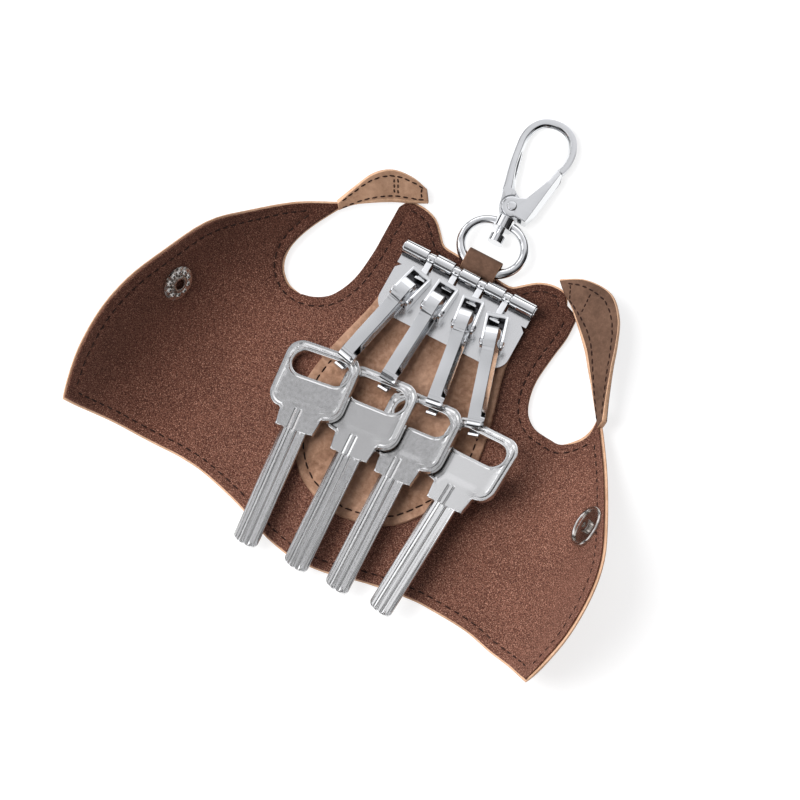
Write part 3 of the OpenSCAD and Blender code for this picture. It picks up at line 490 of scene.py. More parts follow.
def suede(name, dark, base, light, fleck):
    m, tree, shader = material(name, base, 0.92, Sheen_Weight=0.25, Sheen_Roughness=0.5,
                               Sheen_Tint=(*light, 1), Specular_IOR_Level=0.2)
    broad = ramp(tree, noise(tree, 55, 3), [(0.34, dark), (0.66, base)])
    grain = ramp(tree, noise(tree, 2700, 2, 0.7), [(0.36, dark), (0.5, base), (0.64, light)])
    specks = ramp(tree, noise(tree, 3600, 1, 0.5), [(0.58, BLACK), (0.7, WHITE)])
    colour = mix(tree, specks, mix(tree, 0.75, broad, grain), fleck)
    split = new_node(tree, "SeparateXYZ", Vector=new_node(tree, "TexCoord").outputs["Object"])
    # painted shade: the lining's colour is multiplied darker towards the neck and towards the left
    for axis, start, end, shade in PAINTED_SHADE_FALLOFF:
        painted_shade = ramp(tree, remap(tree, split.outputs[axis], start, end), [(0.0, WHITE), (1.0, shade)])
        colour = mix(tree, 1.0, colour, painted_shade, "MULTIPLY")
    wire(tree, shader, Base_Color=colour)
    bump(tree, shader, noise(tree, 1700, 3, 0.7), 0.7, 0.12)
    bump(tree, shader, noise(tree, 160, 3, 0.6), 0.35, 0.3)
    return m


def nubuck(name, dark, base, light, grain_scale=700):
    m, tree, shader = material(name, base, 0.78, Sheen_Weight=0.15, Sheen_Roughness=0.4,
                               Sheen_Tint=(*light, 1), Specular_IOR_Level=0.3, IOR=1.45)
    broad = ramp(tree, noise(tree, 90, 4, 0.65), [(0.32, dark), (0.5, base), (0.72, light)])
    grain = ramp(tree, noise(tree, grain_scale, 5, 0.7, 0.4), [(0.3, dark), (0.52, base), (0.75, light)])
    wire(tree, shader, Base_Color=mix(tree, 0.5, broad, grain))
    bump(tree, shader, noise(tree, 1300, 4, 0.7), 0.5, 0.1)
    bump(tree, shader, noise(tree, 210, 4, 0.6, 0.8), 0.4, 0.25)
    return m


def plating(name, base, rough, waves=0.006, patina=None):
    m, tree, shader = material(name, base, rough, 1.0)
    if patina:
        fac = ramp(tree, noise(tree, 420, 4, 0.7), [(0.42, BLACK), (0.66, WHITE)])
        wire(tree, shader, Base_Color=mix(tree, fac, base, patina))
    smear = remap(tree, noise(tree, 1100, 3), to_low=rough * 0.75, to_high=rough * 1.3)
    wire(tree, shader, Roughness=smear)
    bump(tree, shader, noise(tree, 90, 1), waves, 0.1)
    return m


MAT = {
    "lining": suede("suede_lining", srgb(56, 33, 27), srgb(98, 63, 52), srgb(138, 95, 79),
                    srgb(186, 140, 120)),
    "leather": nubuck("outer_nubuck", srgb(104, 77, 60), srgb(139, 106, 84), srgb(164, 129, 104)),
    # The straps share one nubuck in a lit and a shaded copy: the left strap's is lighter as painted
    # light, the right strap's darker as painted shade
    "strap_left": nubuck("strap_nubuck_painted_light", srgb(132, 100, 80), srgb(166, 130, 105),
                         srgb(192, 156, 130)),
    "strap_right": nubuck("strap_nubuck_painted_shade", srgb(72, 53, 42), srgb(100, 75, 61), srgb(124, 96, 79)),
    "patch": nubuck("patch_nubuck", srgb(108, 77, 59), srgb(160, 124, 101), srgb(204, 166, 141)),
    "edge": nubuck("cut_edge", srgb(176, 136, 106), srgb(216, 174, 142), srgb(236, 200, 170), 1200),
    "thread": nubuck("dark_thread", srgb(22, 13, 11), srgb(42, 26, 21), srgb(78, 54, 45), 2600),
    "chrome": plating("bright_plating", (0.79, 0.8, 0.81), 0.09),
    "key": plating("key_nickel", (0.72, 0.72, 0.715), 0.19, 0.1),
    "plate": plating("plate_nickel", (0.86, 0.865, 0.87), 0.22, 0.01),
    "antique": plating("antique_nickel", (0.66, 0.63, 0.6), 0.2, 0.1, patina=(0.45, 0.42, 0.39)),
    # Near-black plating that paints shade: on the knuckles' side towards the hooks and on the floors
    # inside the hook frames
    "seam": plating("shaded_plating", (0.09, 0.09, 0.095), 0.2),
    "steel": plating("spring_steel", (0.5, 0.51, 0.53), 0.2),
}


# ---- leather body
def sheet_height(side, d, depth):
    """Height over the table of the layer at a depth, at a plan distance d past the fold line."""
    r, t = CURL_R[side], CURL_TURN[side]
    rr = r - depth
    knee = rr * math.sin(t)
    bent = r - np.sqrt(np.maximum(rr * rr - np.clip(d, 0, knee) ** 2, 0))
    return bent + np.clip(d - knee, 0, None) * math.tan(t)


def ripple(side, xy, d):
    """Soft unevenness of the fronts, none near the hook row."""
    x, y = xy[:, 0] * SIGN[side], xy[:, 1]
    broad = 0.35 * np.sin(x * 0.16 + y * 0.05 + 1.0) * np.sin(y * 0.13 - x * 0.03)
    return (broad + 0.15 * np.sin(x * 0.31 - y * 0.22)) * smooth((d - 1) / 12)


EDGE_LEAN = 0.2


def past_fold(side, xy):
    """Plan distance past the fold line, and the sheet's slope there."""
    d = (xy[:, 0] - FOLD_X[side]) * LEAN_COS - (FOLD_Y - xy[:, 1]) * LEAN_SIN
    return d, np.minimum(np.arcsin(np.clip(d / CURL_R[side], 0, 1)), CURL_TURN[side])


def body_place(side):
    def place(xy, depth):
        depth = np.broadcast_to(depth, len(xy)).astype(float)
        d, slope = past_fold(side, xy)
        slide = EDGE_LEAN * depth * np.sin(slope)
        z = sheet_height(side, d - slide, depth) + ripple(side, xy, d)
        x = (xy[:, 0] - slide * LEAN_COS) * SIGN[side]
        return columns(x, xy[:, 1] - slide * LEAN_SIN, z)
    return place


LEAST_RUN = 6


def stitch_runs(loop, flags, inset, keep):
    """Runs of points at a distance inside the rim, where keep(points) allows them."""
    q = loop - loop_normals(loop) * inset
    rim = ~flags
    ok = edge_distance(q, loop[rim], np.roll(loop, -1, axis=0)[rim]) > inset * 0.97
    ok &= inside(q, [loop]) & keep(q)
    runs = [[]]
    for point, good in zip(q, ok):
        if good:
            runs[-1].append(point)
        else:
            runs.append([])
    return [np.array(r) for r in runs if len(r) > LEAST_RUN]


# A stitch's sections: place along its half length and share of its thickness
CAPSULE = ((-1, 0.45), (-0.8, 0.85), (-0.35, 1), (0.35, 1), (0.8, 0.85), (1, 0.45))
SIDES = 6


def along_path(s, at, rows):
    return np.array([np.interp(s, at, rows[:, c]) for c in range(3)])


def stitches(paths, pitch=2.9, length=2.2, thick=0.19, sink=0.12):
    """Thread along paths of (point, surface normal): one capsule a stitch, dipping into the leather at
    its ends."""
    verts, faces = [], []
    for points, normals in paths:
        seg = np.linalg.norm(np.diff(points, axis=0), axis=1)
        at = np.concatenate([[0], np.cumsum(seg)])
        count = int(at[-1] / pitch)
        spare = (at[-1] - count * pitch) / 2
        for k in range(count):
            mid = spare + (k + 0.5) * pitch + rng.uniform(-0.1, 0.1)
            half = length / 2 * rng.uniform(0.92, 1.05)
            start = len(verts)
            lean = rng.uniform(-0.1, 0.1)
            for share, size in CAPSULE:
                s = np.clip(mid + share * half, 0, at[-1])
                nrm = along_path(s, at, normals)
                ahead, behind = min(s + 0.3, at[-1]), max(s - 0.3, 0)
                chord = along_path(ahead, at, points) - along_path(behind, at, points)
                tangent = chord / max(np.linalg.norm(chord), 1e-9)
                nrm = nrm - tangent * nrm.dot(tangent)
                nrm /= np.linalg.norm(nrm)
                across = np.cross(tangent, nrm)
                rise = thick * 0.55 - sink - (0.42 * share ** 4)
                centre = along_path(s, at, points) + nrm * rise + across * lean * share
                for a in range(SIDES):
                    w = a * 2 * math.pi / SIDES
                    spoke = across * math.cos(w) * 1.15 + nrm * math.sin(w)
                    verts.append(centre + spoke * thick * size)
            for ring in range(start, len(verts) - SIDES, SIDES):
                for a in range(SIDES):
                    i, j = ring + a, ring + (a + 1) % SIDES
                    faces.append([i, i + SIDES, j + SIDES, j])
            faces.append([start + a for a in range(SIDES)])
            faces.append([len(verts) - 1 - a for a in range(SIDES)])
    return np.array(verts), faces


def groove(xy, lines, deep, width):
    """Dent along polylines."""
    a = np.vstack([l[:-1] for l in lines])
    b = np.vstack([l[1:] for l in lines])
    return deep * np.exp(-(edge_distance(xy, a, b) / width) ** 2)


LIP_LEAST, LIP_HEM, LIP_EAR = 0.12, 0.35, 0.75
LIP_UPPER = {"left": 0.7, "right": 0.95}
LIP_FROM = {"left": 0.5 * FRONT_REACH, "right": 0.62 * FRONT_REACH}


def lip(side, loop):
    """How far the lining stops short of the cut edge, by place on the outline."""
    n = loop_normals(loop)
    x, y = loop[:, 0], loop[:, 1]
    out = np.full(len(loop), LIP_LEAST)
    front = x > FOLD_X[side] + 1
    out[front & (n[:, 0] * 0.35 + n[:, 1] > -0.25) & (x > LIP_FROM[side])] = LIP_UPPER[side]
    out[(n[:, 1] < -0.5) & (y < HEM_Y + 6)] = LIP_HEM
    ear = (y > NECK_Y - 3) & (x < 0.36 * FRONT_REACH)
    out[ear & (n[:, 0] < 0.75)] = LIP_EAR
    out[:2] = LIP_LEAST
    for _ in range(6):
        out = (np.roll(out, 1) + out * 2 + np.roll(out, -1)) / 4
    return out


STITCH_IN = 2.9
RIM_ROWS = [0.1, 0.3, 0.7, 2.2, 2.6, 2.9, 3.2, 3.7]
RIM_STEP, BODY_STEP, THREAD_STEP, THREAD_SINK = 1.1, 1.8, 0.6, 0.1
FRONT_TOP = {"left": NECK_Y - 0.055 * PANEL_H, "right": NECK_Y - 0.2 * PANEL_H}
BEND_BEFORE, BEND_PAST = 2.5, 3.5


def leather_half(side):
    """One half of the body: its lining, its leather and the thread on both faces."""
    loop, flags = half_outline(side, RIM_STEP)
    edge_lip = lip(side, loop)
    inner_loop = loop - loop_normals(loop) * edge_lip[:, None]
    inner_loop[loop[:, 0] < 0.01, 0] = 0
    place = body_place(side)

    def keep(q):
        return (q[:, 0] > 0.01) & ((q[:, 0] < fold_at(side, FOLD_Y)) | (q[:, 1] < FRONT_TOP[side]))
    lines = stitch_runs(loop, flags, STITCH_IN, keep)
    mirror = side == "left"
    base = np.array([FOLD_X[side] * SIGN[side], FOLD_Y, TOTAL_T])
    out = np.array([LEAN_COS * SIGN[side], LEAN_SIN, 0])
    ends = base - out * BEND_BEFORE, base + out * BEND_PAST
    verts, faces, part = shell(
        [inner_loop], BODY_STEP, RIM_ROWS, place,
        lambda q, d: TOTAL_T - rounding(d, 0.4) - groove(q, lines, 0.28, 0.45),
        lambda q, d: np.full(len(q), LEATHER_T), flags, mirror=mirror)
    lining = new_object(f"lining_{side}", verts, faces, [MAT["lining"]])
    bend(lining, side, *ends, "suede_lining", "back_lining", f"{side}_front_lining")

    def leather_top(q, d):
        near_lip = edge_lip[np.array([((loop - p) ** 2).sum(1).argmin() for p in q])]
        swell = 0.3 * np.maximum(near_lip - LIP_LEAST, 0) * (1 - smooth(d / 0.7))
        return LEATHER_T + swell - rounding(d, 0.5)
    verts, faces, part = shell(
        [loop], BODY_STEP, RIM_ROWS, place, leather_top,
        lambda q, d: rounding(d, 0.35) + groove(q, lines, 0.2, 0.5), flags, 2, mirror=mirror)
    outer = new_object(f"leather_{side}", verts, faces, [MAT["leather"], MAT["edge"]], part != 1)
    bend(outer, side, *ends, "outer_leather", "back_leather", f"{side}_front_leather")
    for face, slot, depth, sign in (("inside", "suede_lining", TOTAL_T - THREAD_SINK, 1),
                                    ("outside", "outer_leather", THREAD_SINK, -1)):
        paths = []
        for line in lines:
            q = resample(line, THREAD_STEP)
            slope = past_fold(side, q)[1]
            away = -np.sin(slope)
            n = columns(away * LEAN_COS * SIGN[side], away * LEAN_SIN, np.cos(slope)) * sign
            paths.append((place(q, depth), n))
        verts, faces = stitches(paths)
        bend(new_object(f"stitches_{face}_{side}", verts, faces, [MAT["thread"]]), side, *ends, slot)


for SIDE in ("left", "right"):
    leather_half(SIDE)


# ---- straps
def unit(v):
    return v / np.maximum(np.linalg.norm(v, axis=-1, keepdims=True), 1e-9)


def tube(count, n):
    """Faces of a closed tube through count rings of n points each."""
    last = (count - 1) * n
    faces = [[k + j, k + (j + 1) % n, k + (j + 1) % n + n, k + j + n]
             for k in range(0, last, n) for j in range(n)]
    return faces + [list(range(n))[::-1], [last + j for j in range(n)]]


def band(a, b, thick, mats, name, crown=0.0, rim=0.3, cut=None):
    """A leather strip between two edge lines a and b: its object, and a function from shares along and
    across (0 to 1) to points and normals on its upper face. cut is the width of a visible cut edge."""
    mid = (a + b) / 2
    tangent = unit(np.gradient(mid, axis=0))
    width = np.linalg.norm(b - a, axis=1)
    way = unit(b - a)
    up = unit(np.cross(way, tangent))
    up *= np.sign(up[:, 2:3].mean() or 1)
    n = len(a)
    h = thick / 2
    across = [(0, -h + rim), (0, 0), (0, h - rim), (rim * 0.3, h - rim * 0.3), (rim, h)]
    inner = [(w, h + crown * (1 - (2 * w - 1) ** 2)) for w in np.linspace(0.15, 0.88, 9)]
    verts = []
    for k in range(n):
        w = width[k]
        ring = [(s / w, z) for s, z in across]
        if cut:
            share = min(cut / w, 0.13)
            ring = [(0, rim - h), (0, rim * 1.8 - h), (share * 0.22, h * 0.2), (share * 0.65, h * 0.78),
                    (share, h)]
        ring += inner
        ring += [(1 - s / w, z) for s, z in across[::-1]]
        ring += [(1 - rim / w, -h)] + [(1 - s, -z) for s, z in inner] + [(rim / w, -h)]
        verts += [a[k] + (b[k] - a[k]) * s + up[k] * z for s, z in ring]
    tops, near_rim = range(4, 5 + len(inner)), [*range(4), *range(14, 18)]
    index = [0 if j in tops else 2 if j in near_rim else 1 for j in range(len(ring))]
    obj = new_object(name, verts, tube(n, len(ring)), mats, index * (n - 1) + [2, 2])
    face_outwards(obj)
    s = np.linspace(0, 1, n)

    def on_face(along, cross):
        pick = lambda arr: np.stack([np.interp(along, s, arr[:, c]) for c in range(3)], axis=1)
        pa, pb, pu = pick(a), pick(b), unit(pick(up))
        z = h + crown * (1 - (2 * cross - 1) ** 2)
        return pa + (pb - pa) * cross[:, None] + pu * z[:, None], pu
    return obj, on_face


# Rows of stitches: shares across, and the cross rows' shares along
STRAP_ROWS, STRAP_CROSS = (0.21, 0.82), {"left": (0.1, 0.36, 0.4), "right": (0.07, 0.2)}


def strap(side):
    st = np.array(STRAP[side]) * [FRONT_REACH, PANEL_H, STRAP_W] + [0, NECK_Y, 0]
    a, b = curve(st[:, 0], 8), curve(st[:, 1], 8)
    near, far = STRAP_DROP[side]
    drop = near + (far - near) * smooth(np.linspace(0, 1, len(a)))
    a, b = a + drop[:, None] * DROP_WAY, b + drop[:, None] * DROP_WAY
    # the left strap takes the lighter, painted-light nubuck copy and the right strap the darker,
    # painted-shade copy
    obj, on_face = band(a, b, STRAP_T, [MAT[f"strap_{side}"], MAT["lining"], MAT["edge"]],
                        f"{side}_shoulder_strap", 0.15, cut=1.25)
    first, last = (a[0] + b[0]) / 2, (a[-1] + b[-1]) / 2
    start, end = first + (last - first) * 0.25, first + (last - first) * 0.97
    rows = [on_face(np.linspace(0.03, 0.97, 60), np.full(60, cross)) for cross in STRAP_ROWS]
    cross_rows = [on_face(np.full(12, along), np.linspace(0.24, 0.8, 12)) for along in STRAP_CROSS[side]]
    verts, faces = stitches(rows, 2.3, 2.05, 0.2, 0.08)
    more, more_faces = stitches(cross_rows, 1.5, 1.4, 0.2, 0.08)
    faces += [[i + len(verts) for i in f] for f in more_faces]
    verts = np.vstack([verts, more])
    bend(obj, side, start, end, "strap_leather", f"{side}_strap")
    thread = new_object(f"{side}_strap_stitches", verts, faces, [MAT["thread"]])
    bend(thread, side, start, end, "strap_leather")


for SIDE in ("left", "right"):
    strap(SIDE)


# ---- patch and neck loop
def row_point(p):
    """From the hook row's frame, with its origin on the patch under the rod, to the object's."""
    x, y, z = np.asarray(p, float).T
    return columns(ROW_X + x * ROW_COS - y * ROW_SIN, ROW_Y + x * ROW_SIN + y * ROW_COS, PATCH_TOP + z)


PATCH_SHARE = [[0.37, 0.075], [0.385, 0.23], [0.463, 0.45], [0.494, 0.6], [0.47, 0.72], [0.405, 0.82],
               [0.29, 0.925], [0.15, 0.98], [0, 1]]
PATCH_W, PATCH_L = 55.4, 78.0
TAB_L = 6.0
PATCH_ROWS = [0.1, 0.3, 0.7, 1.9, 2.3, 2.6, 2.9, 3.3]
LOOSE_STITCH = np.array([[-19.8, -31.5], [-18.6, -36.5]])


def patch():
    drop = TAB_L * 0.08
    right = curve([[s[0] * PATCH_W, -s[1] * PATCH_L - drop] for s in PATCH_SHARE], 6)
    left = right[::-1] * [-1, 1]
    loop = resample(np.vstack([right, left[1:]]), 1.0, closed=True)
    lines = stitch_runs(loop, np.zeros(len(loop), bool), 2.6, lambda q: q[:, 1] < -14)

    def place(xy, depth):
        soft = 0.12 * np.sin(xy[:, 0] * 0.5 + xy[:, 1] * 0.11) * np.sin(xy[:, 1] * 0.23)
        lift = soft * (np.broadcast_to(depth, len(xy)) > 0.6)
        return row_point(columns(xy[:, 0], xy[:, 1], depth - PATCH_T + lift - 0.02))
    verts, faces, part = shell(
        [loop], 1.5, PATCH_ROWS, place,
        lambda q, d: (PATCH_T - rounding(d, 0.4) - groove(q, lines, 0.25, 0.55)
                      - 0.05 * (1 - smooth(d / 1.5))),
        lambda q, d: np.zeros(len(q)))
    obj = new_object("key_patch_leather", verts, faces, [MAT["patch"], MAT["edge"]], part == 2)
    attach(obj, "case", "patch_leather", "key_patch")
    rows = []
    for line in lines + [LOOSE_STITCH]:
        q = resample(line, THREAD_STEP)
        level = np.full(len(q), PATCH_T - THREAD_SINK)
        rows.append((place(q, level), np.tile([0.0, 0.0, 1.0], (len(q), 1))))
    verts, faces = stitches(rows, 3.0, 2.5, 0.2, 0.08)
    attach(new_object("patch_stitches", verts, faces, [MAT["thread"]]), "case", "patch_leather")


patch()

WIRE_R = 1.2
LOOP_PLAY, LOOP_T, LOOP_W = 0.15, 0.7, 10.5
LOOP_R = WIRE_R + LOOP_PLAY + LOOP_T
LOOP_X, LOOP_BAR_Y, LOOP_SLACK = 0.9, 4.5, 2.4
LOOP_Z = TOTAL_T + LOOP_R


def neck_loop():
    r = LOOP_R - LOOP_T / 2
    line = [(-LOOP_BAR_Y - TAB_L, -r), (0, -r), (LOOP_SLACK, -r)]
    line += [(LOOP_SLACK + r * math.sin(w), -r * math.cos(w))
             for w in np.linspace(0.2, math.pi - 0.1, 14)]
    line += [(LOOP_SLACK, r), (0.5, r + 0.05), (-1.2, r * 0.8), (-2.2, r * 0.1),
             (-3.2, -r + LOOP_T * 1.1), (-4.3, -r + LOOP_T), (-LOOP_BAR_Y - TAB_L, -r + LOOP_T)]
    line = resample(curve(line, 4), 0.45)
    edge = lambda x: row_point(columns(np.full(len(line), LOOP_X + x), line[:, 0] + LOOP_BAR_Y,
                                       line[:, 1] + LOOP_Z - PATCH_TOP))
    # The loop's upper face takes the darker, painted-shade copy of the strap nubuck
    obj, _ = band(edge(-LOOP_W / 2), edge(LOOP_W / 2), LOOP_T,
                  [MAT["strap_right"], MAT["leather"], MAT["leather"]], "neck_loop_leather", 0.0, 0.2)
    attach(obj, "case", "patch_leather", "neck_loop")


neck_loop()

# ---- keys
HOOK_L, ROW_FAN = 32.0, [math.radians(a) for a in (-12.5, -3.2, 8.5, 17)]
HOOK_PITCH, BEND_LINE_Y, BEND_Z = 8.2, -36.5, 5.2
KEY_SLIDE, KEY_YAW, KEY_ROLL = [-5.7, -0.8, -1.2, 4.8], [5.4, 3.2, 1.8, -2.8], 12
KEY_TIP = (0.4, -1.2, 1.4, 3.4)
KEY_DROP_Y, KEY_DROP_Z = 1.8, 0.75
BOW_W, BOW_H, BOW_CORNER, KEY_BAR, KEY_L, BLADE_W = 22.8, 20.8, 4.6, 2.7, 62.5, 8.0
COLLAR_W, COLLAR_L, COLLAR_STEP, SLOT_W, SLOT_H = 12.8, 5.3, 1.2, 17.2, 7.4
SLOT_CORNER, SLOT_END_CORNER, CORNER_STEPS = 3.6, 3.1, 7
KEY_STEP, SLOT_STEP, KEY_EASE = 0.7, 0.6, 0.22
KEY_FACE, RIM_RISE, COLLAR_RISE = 0.8, 0.2, 0.06
KEY_ROWS = [0.07, 0.18, 0.4, 0.75, 1.0, 1.25, 1.65, 1.9, 2.15]
BOW_TOP = KEY_BAR / 2
BOW_LOW = BOW_TOP - BOW_H
COLLAR_LOW = BOW_LOW - COLLAR_L


def rounded(w, top, low, right, left):
    """Rectangle with corners of radius right and left on those sides."""
    pts = []
    for side, start in ((1, 0), (-1, 90), (-1, 180), (1, 270)):
        r = right if side > 0 else left
        cx, cy = side * (w / 2 - r), top - r if start < 180 else low + r
        for k in range(CORNER_STEPS + 1):
            t = math.radians(start + 90 * k / CORNER_STEPS)
            pts.append([cx + r * math.cos(t), cy + r * math.sin(t)])
    return np.array(pts)


BOW = rounded(BOW_W, BOW_TOP, BOW_LOW, BOW_CORNER, BOW_CORNER)


def key_outline():
    tip = BOW_TOP - KEY_L
    half, blade = COLLAR_W / 2, BLADE_W / 2
    step, slope_y = half - COLLAR_STEP / 2, BOW_LOW - COLLAR_L * 0.25
    neck = [[-half, BOW_LOW], [-half, slope_y], [-step, COLLAR_LOW], [-blade, COLLAR_LOW],
            [-blade, tip + 2.2], [-blade * 0.8, tip + 1.2], [-blade * 0.35, tip + 0.4],
            [blade * 0.45, tip], [blade * 0.85, tip + 0.3], [blade, tip + 1.1],
            [blade, COLLAR_LOW], [step, COLLAR_LOW], [half, slope_y], [half, BOW_LOW]]
    n = len(BOW) // 4
    return np.vstack([BOW[:3 * n], neck, BOW[3 * n:]])


# The blade's half thickness by place across it, and the left edges of the collar's grooves
PROFILE = [(-4.0, 0.12), (-3.85, 0.22), (-3.0, 0.78), (-2.85, 0.86), (-2.0, 0.88), (-1.85, 0.7),
           (-1.15, 0.87), (-1.0, 0.68), (0.5, 0.7), (0.66, 0.52), (0.78, 0.52), (1.25, 0.72), (3.4, 0.76),
           (3.8, 0.85), (4.0, 0.6)]
COLLAR_CUTS = (-2.25, -0.55)


def key_height(xy, bow, slot):
    """Height of a key's face over its middle plane."""
    x, y = xy[:, 0], xy[:, 1]
    ring = lambda loop: edge_distance(xy, loop, np.roll(loop, -1, axis=0))
    rim = np.maximum(1 - smooth((ring(bow) - 0.75) / 0.5), 1 - smooth((ring(slot) - 0.7) / 0.3))
    ledge = np.exp(-((ring(bow) - 1.9) / 0.22) ** 2) * 0.07 * (y > BOW_LOW + 3.5)
    rim = np.where((y < BOW_LOW + 1.3) & (np.abs(x) < COLLAR_W / 2), 0, rim)
    face = KEY_FACE + RIM_RISE * rim + ledge * (rim < 0.01)
    collar = smooth((BOW_LOW + 3.3 - y) / 0.2) * (np.abs(x) < COLLAR_W / 2 - 0.4)
    face = np.maximum(face, KEY_FACE + COLLAR_RISE * collar)
    face = np.where(y < BOW_LOW + 0.4, np.maximum(face, KEY_FACE + COLLAR_RISE), face)
    blade = np.interp(x, [a for a, _ in PROFILE], [h for _, h in PROFILE])
    face = np.where(y < COLLAR_LOW, blade, face)
    for gx in COLLAR_CUTS:
        across = x - gx
        depth = np.interp(across, [0, 0.14, 0.85], [0, 0.24, 0])
        end = smooth((BOW_LOW + 1.2 - np.abs(across - 0.4) * 0.8 - y) / 0.35)
        face = face - depth * end * (y > COLLAR_LOW)
    return face


def make_key(i):
    right, left = (SLOT_END_CORNER if i == end else SLOT_CORNER for end in (1, 4))
    slot = rounded(SLOT_W, -BOW_TOP, -BOW_TOP - SLOT_H, right, left)
    slot = resample(slot, SLOT_STEP, closed=True)
    bow = resample(BOW, KEY_STEP, closed=True)
    blade_ends = BOW_TOP - KEY_L - 0.5, COLLAR_LOW - 0.06
    lines = [[x * SIGN[hand], y] for x, _ in PROFILE[1:-1] for hand in SIGN for y in blade_ends]
    guides = [[x, COLLAR_LOW + 0.1] for x in np.arange(-4.5, 4.6, 0.25)]
    for x in [gx + d for gx in COLLAR_CUTS for d in (0, 0.14, 0.5, 0.85)]:
        lines += [[x * hand, y] for hand in (1, -1) for y in (COLLAR_LOW + 0.1, BOW_LOW + 0.5)]
        guides += [[x * hand, y] for hand in (1, -1)
                   for y in np.arange(BOW_LOW + 0.65, BOW_LOW + 1.4, 0.14)]
    end_x = (i - 2.5) * HOOK_PITCH + (HOOK_L + KEY_DROP_Y) * math.sin(ROW_FAN[i - 1])
    yaw, roll = math.radians(KEY_YAW[i - 1]), math.radians(KEY_ROLL + KEY_TIP[i - 1])
    (cy, sy), (cr, sr) = ((math.cos(w), math.sin(w)) for w in (yaw, roll))

    def place(xy, z):
        x, y = xy[:, 0] + KEY_SLIDE[i - 1], xy[:, 1]
        rx, rz = x * cr - z * sr, x * sr + z * cr
        return row_point(columns(end_x + rx * cy - y * sy, BEND_LINE_Y - KEY_DROP_Y + rx * sy + y * cy,
                                 BEND_Z - KEY_DROP_Z + rz))
    verts, faces, _ = shell(
        [resample(key_outline(), KEY_STEP, closed=True), slot], 1.0, KEY_ROWS, place,
        lambda q, d: key_height(q, bow, slot) - rounding(d, KEY_EASE),
        lambda q, d: rounding(d, KEY_EASE) - key_height(q * [-1, 1], bow, slot),
        guides=guides, lines=lines)
    obj = new_object(f"key_blank_{i}", verts, faces, [MAT["key"]], sharp=9)
    attach(obj, f"key_{i}", "key_metal", f"key_{i}")


for KEY in (1, 2, 3, 4):
    make_key(KEY)


# ---- metal parts with eased edges
MERGE_WITHIN, SHARP_OVER = 2e-6, 32
FLAT_WITHIN, EASE_OVER = math.radians(0.8), math.radians(28)


def eased(node, body, mat, slot, width=0.15, segments=2, warp=None, cuts=(), swell=0.0):
    """The CAD node's shape with its sharp edges rounded over. cuts are planes (point, normal) that add
    edges for warp to bend at, and swell is how far the surface grows outwards."""
    bm = bmesh.new()
    bm.from_mesh(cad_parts[node].data)
    bmesh.ops.remove_doubles(bm, verts=bm.verts, dist=MERGE_WITHIN)
    bmesh.ops.dissolve_limit(bm, angle_limit=FLAT_WITHIN, verts=bm.verts, edges=bm.edges)
    edges = [e for e in bm.edges if e.is_manifold and e.calc_face_angle(0) > EASE_OVER]
    bmesh.ops.bevel(bm, geom=edges, offset=width * MM, segments=segments, profile=0.5, affect="EDGES",
                    clamp_overlap=True)
    bmesh.ops.triangulate(bm, faces=[f for f in bm.faces if len(f.verts) > 4])
    for point, normal in cuts:
        bmesh.ops.bisect_plane(bm, geom=bm.verts[:] + bm.edges[:] + bm.faces[:], dist=1e-7,
                               plane_co=point, plane_no=normal)
    if swell:
        bm.normal_update()
        for v in bm.verts:
            v.co += v.normal * swell * MM
    for v in bm.verts if warp else ():
        v.co = warp(v.co)
    name = f"{node}_plated"
    mesh = bpy.data.meshes.new(name)
    bm.to_mesh(mesh)
    bm.free()
    mesh.materials.append(mat)
    mesh.polygons.foreach_set("material_index", [0] * len(mesh.polygons))
    obj = add(name, mesh, SHARP_OVER)
    flat_faces(obj)
    return attach(obj, body, slot, node)


def chromed(node, body, *shape, **more):
    return eased(node, body, MAT["chrome"], "bright_plating", *shape, **more)


CLIP_ARM_TURN = 9
RING_H, RING_BOSS_L, CLIP_FOOT = 17.6, 3.2, 3.6
CLIP_PIVOT_Y = RING_H - 2 * WIRE_R + RING_BOSS_L / 2 + CLIP_FOOT
CLIP = (Matrix.Translation(Vector((2.0, ROW_Y + LOOP_BAR_Y + LOOP_PLAY, LOOP_Z)) * MM)
        @ Matrix.Rotation(math.radians(6), 4, "Z") @ Matrix.Rotation(math.radians(-3.7), 4, "X"))
CLIP_BACK = CLIP.inverted()


def taller_bow(point):
    """The clip's bow drawn out a little past the nose of its gate, and its post given a deeper head."""
    q = CLIP_BACK @ point / MM
    q.x, q.y = bow_shift(q.x, q.y)
    if q.y < CLIP_PIVOT_Y - CLIP_FOOT - RING_BOSS_L - 3.0:
        q.y -= 1.0
    return CLIP @ (q * MM)


def bow_shift(x, y):
    left = smooth((y - 24) / 10) * (0.35 + 0.55 * smooth((4.5 - x) / 7))
    return x - left, y + 2.2 * smooth((y - 35) / 11)


PLATE_T, ROD_R = 0.9, 1.3
ROD_Z = ROD_R + 0.05 + PLATE_T


def row_back(point):
    """From the object's frame to the hook row's, in millimetres."""
    x, y, z = np.array(point) / MM - [ROW_X, ROW_Y, PATCH_TOP]
    return np.array([x * ROW_COS + y * ROW_SIN, y * ROW_COS - x * ROW_SIN, z])


def slim_eye(point):
    """A link's eye drawn in towards the rod."""
    p = row_back(point)
    off = p[1:] - [0, ROD_Z]
    size = np.hypot(*off)
    p[1:] = [0, ROD_Z] + off * (1 - 0.2 * float(1 - smooth((size - 2.1) / 0.8)))
    return Vector(row_point(p[None])[0] * MM)


PIVOT_Y, GATE_FOLD_X, GATE_SAG = -9.2, 1.05, 0.12


def hook_matrix(i):
    """The hook's frame: origin in its end wall, +Y towards the rod."""
    fan = ROW_FAN[i - 1]
    start = row_point([[(i - 2.5) * HOOK_PITCH, BEND_LINE_Y + HOOK_L * math.cos(fan), 0]])[0]
    return Matrix.Translation(Vector(start) * MM) @ Matrix.Rotation(ROW_TURN + fan, 4, "Z")


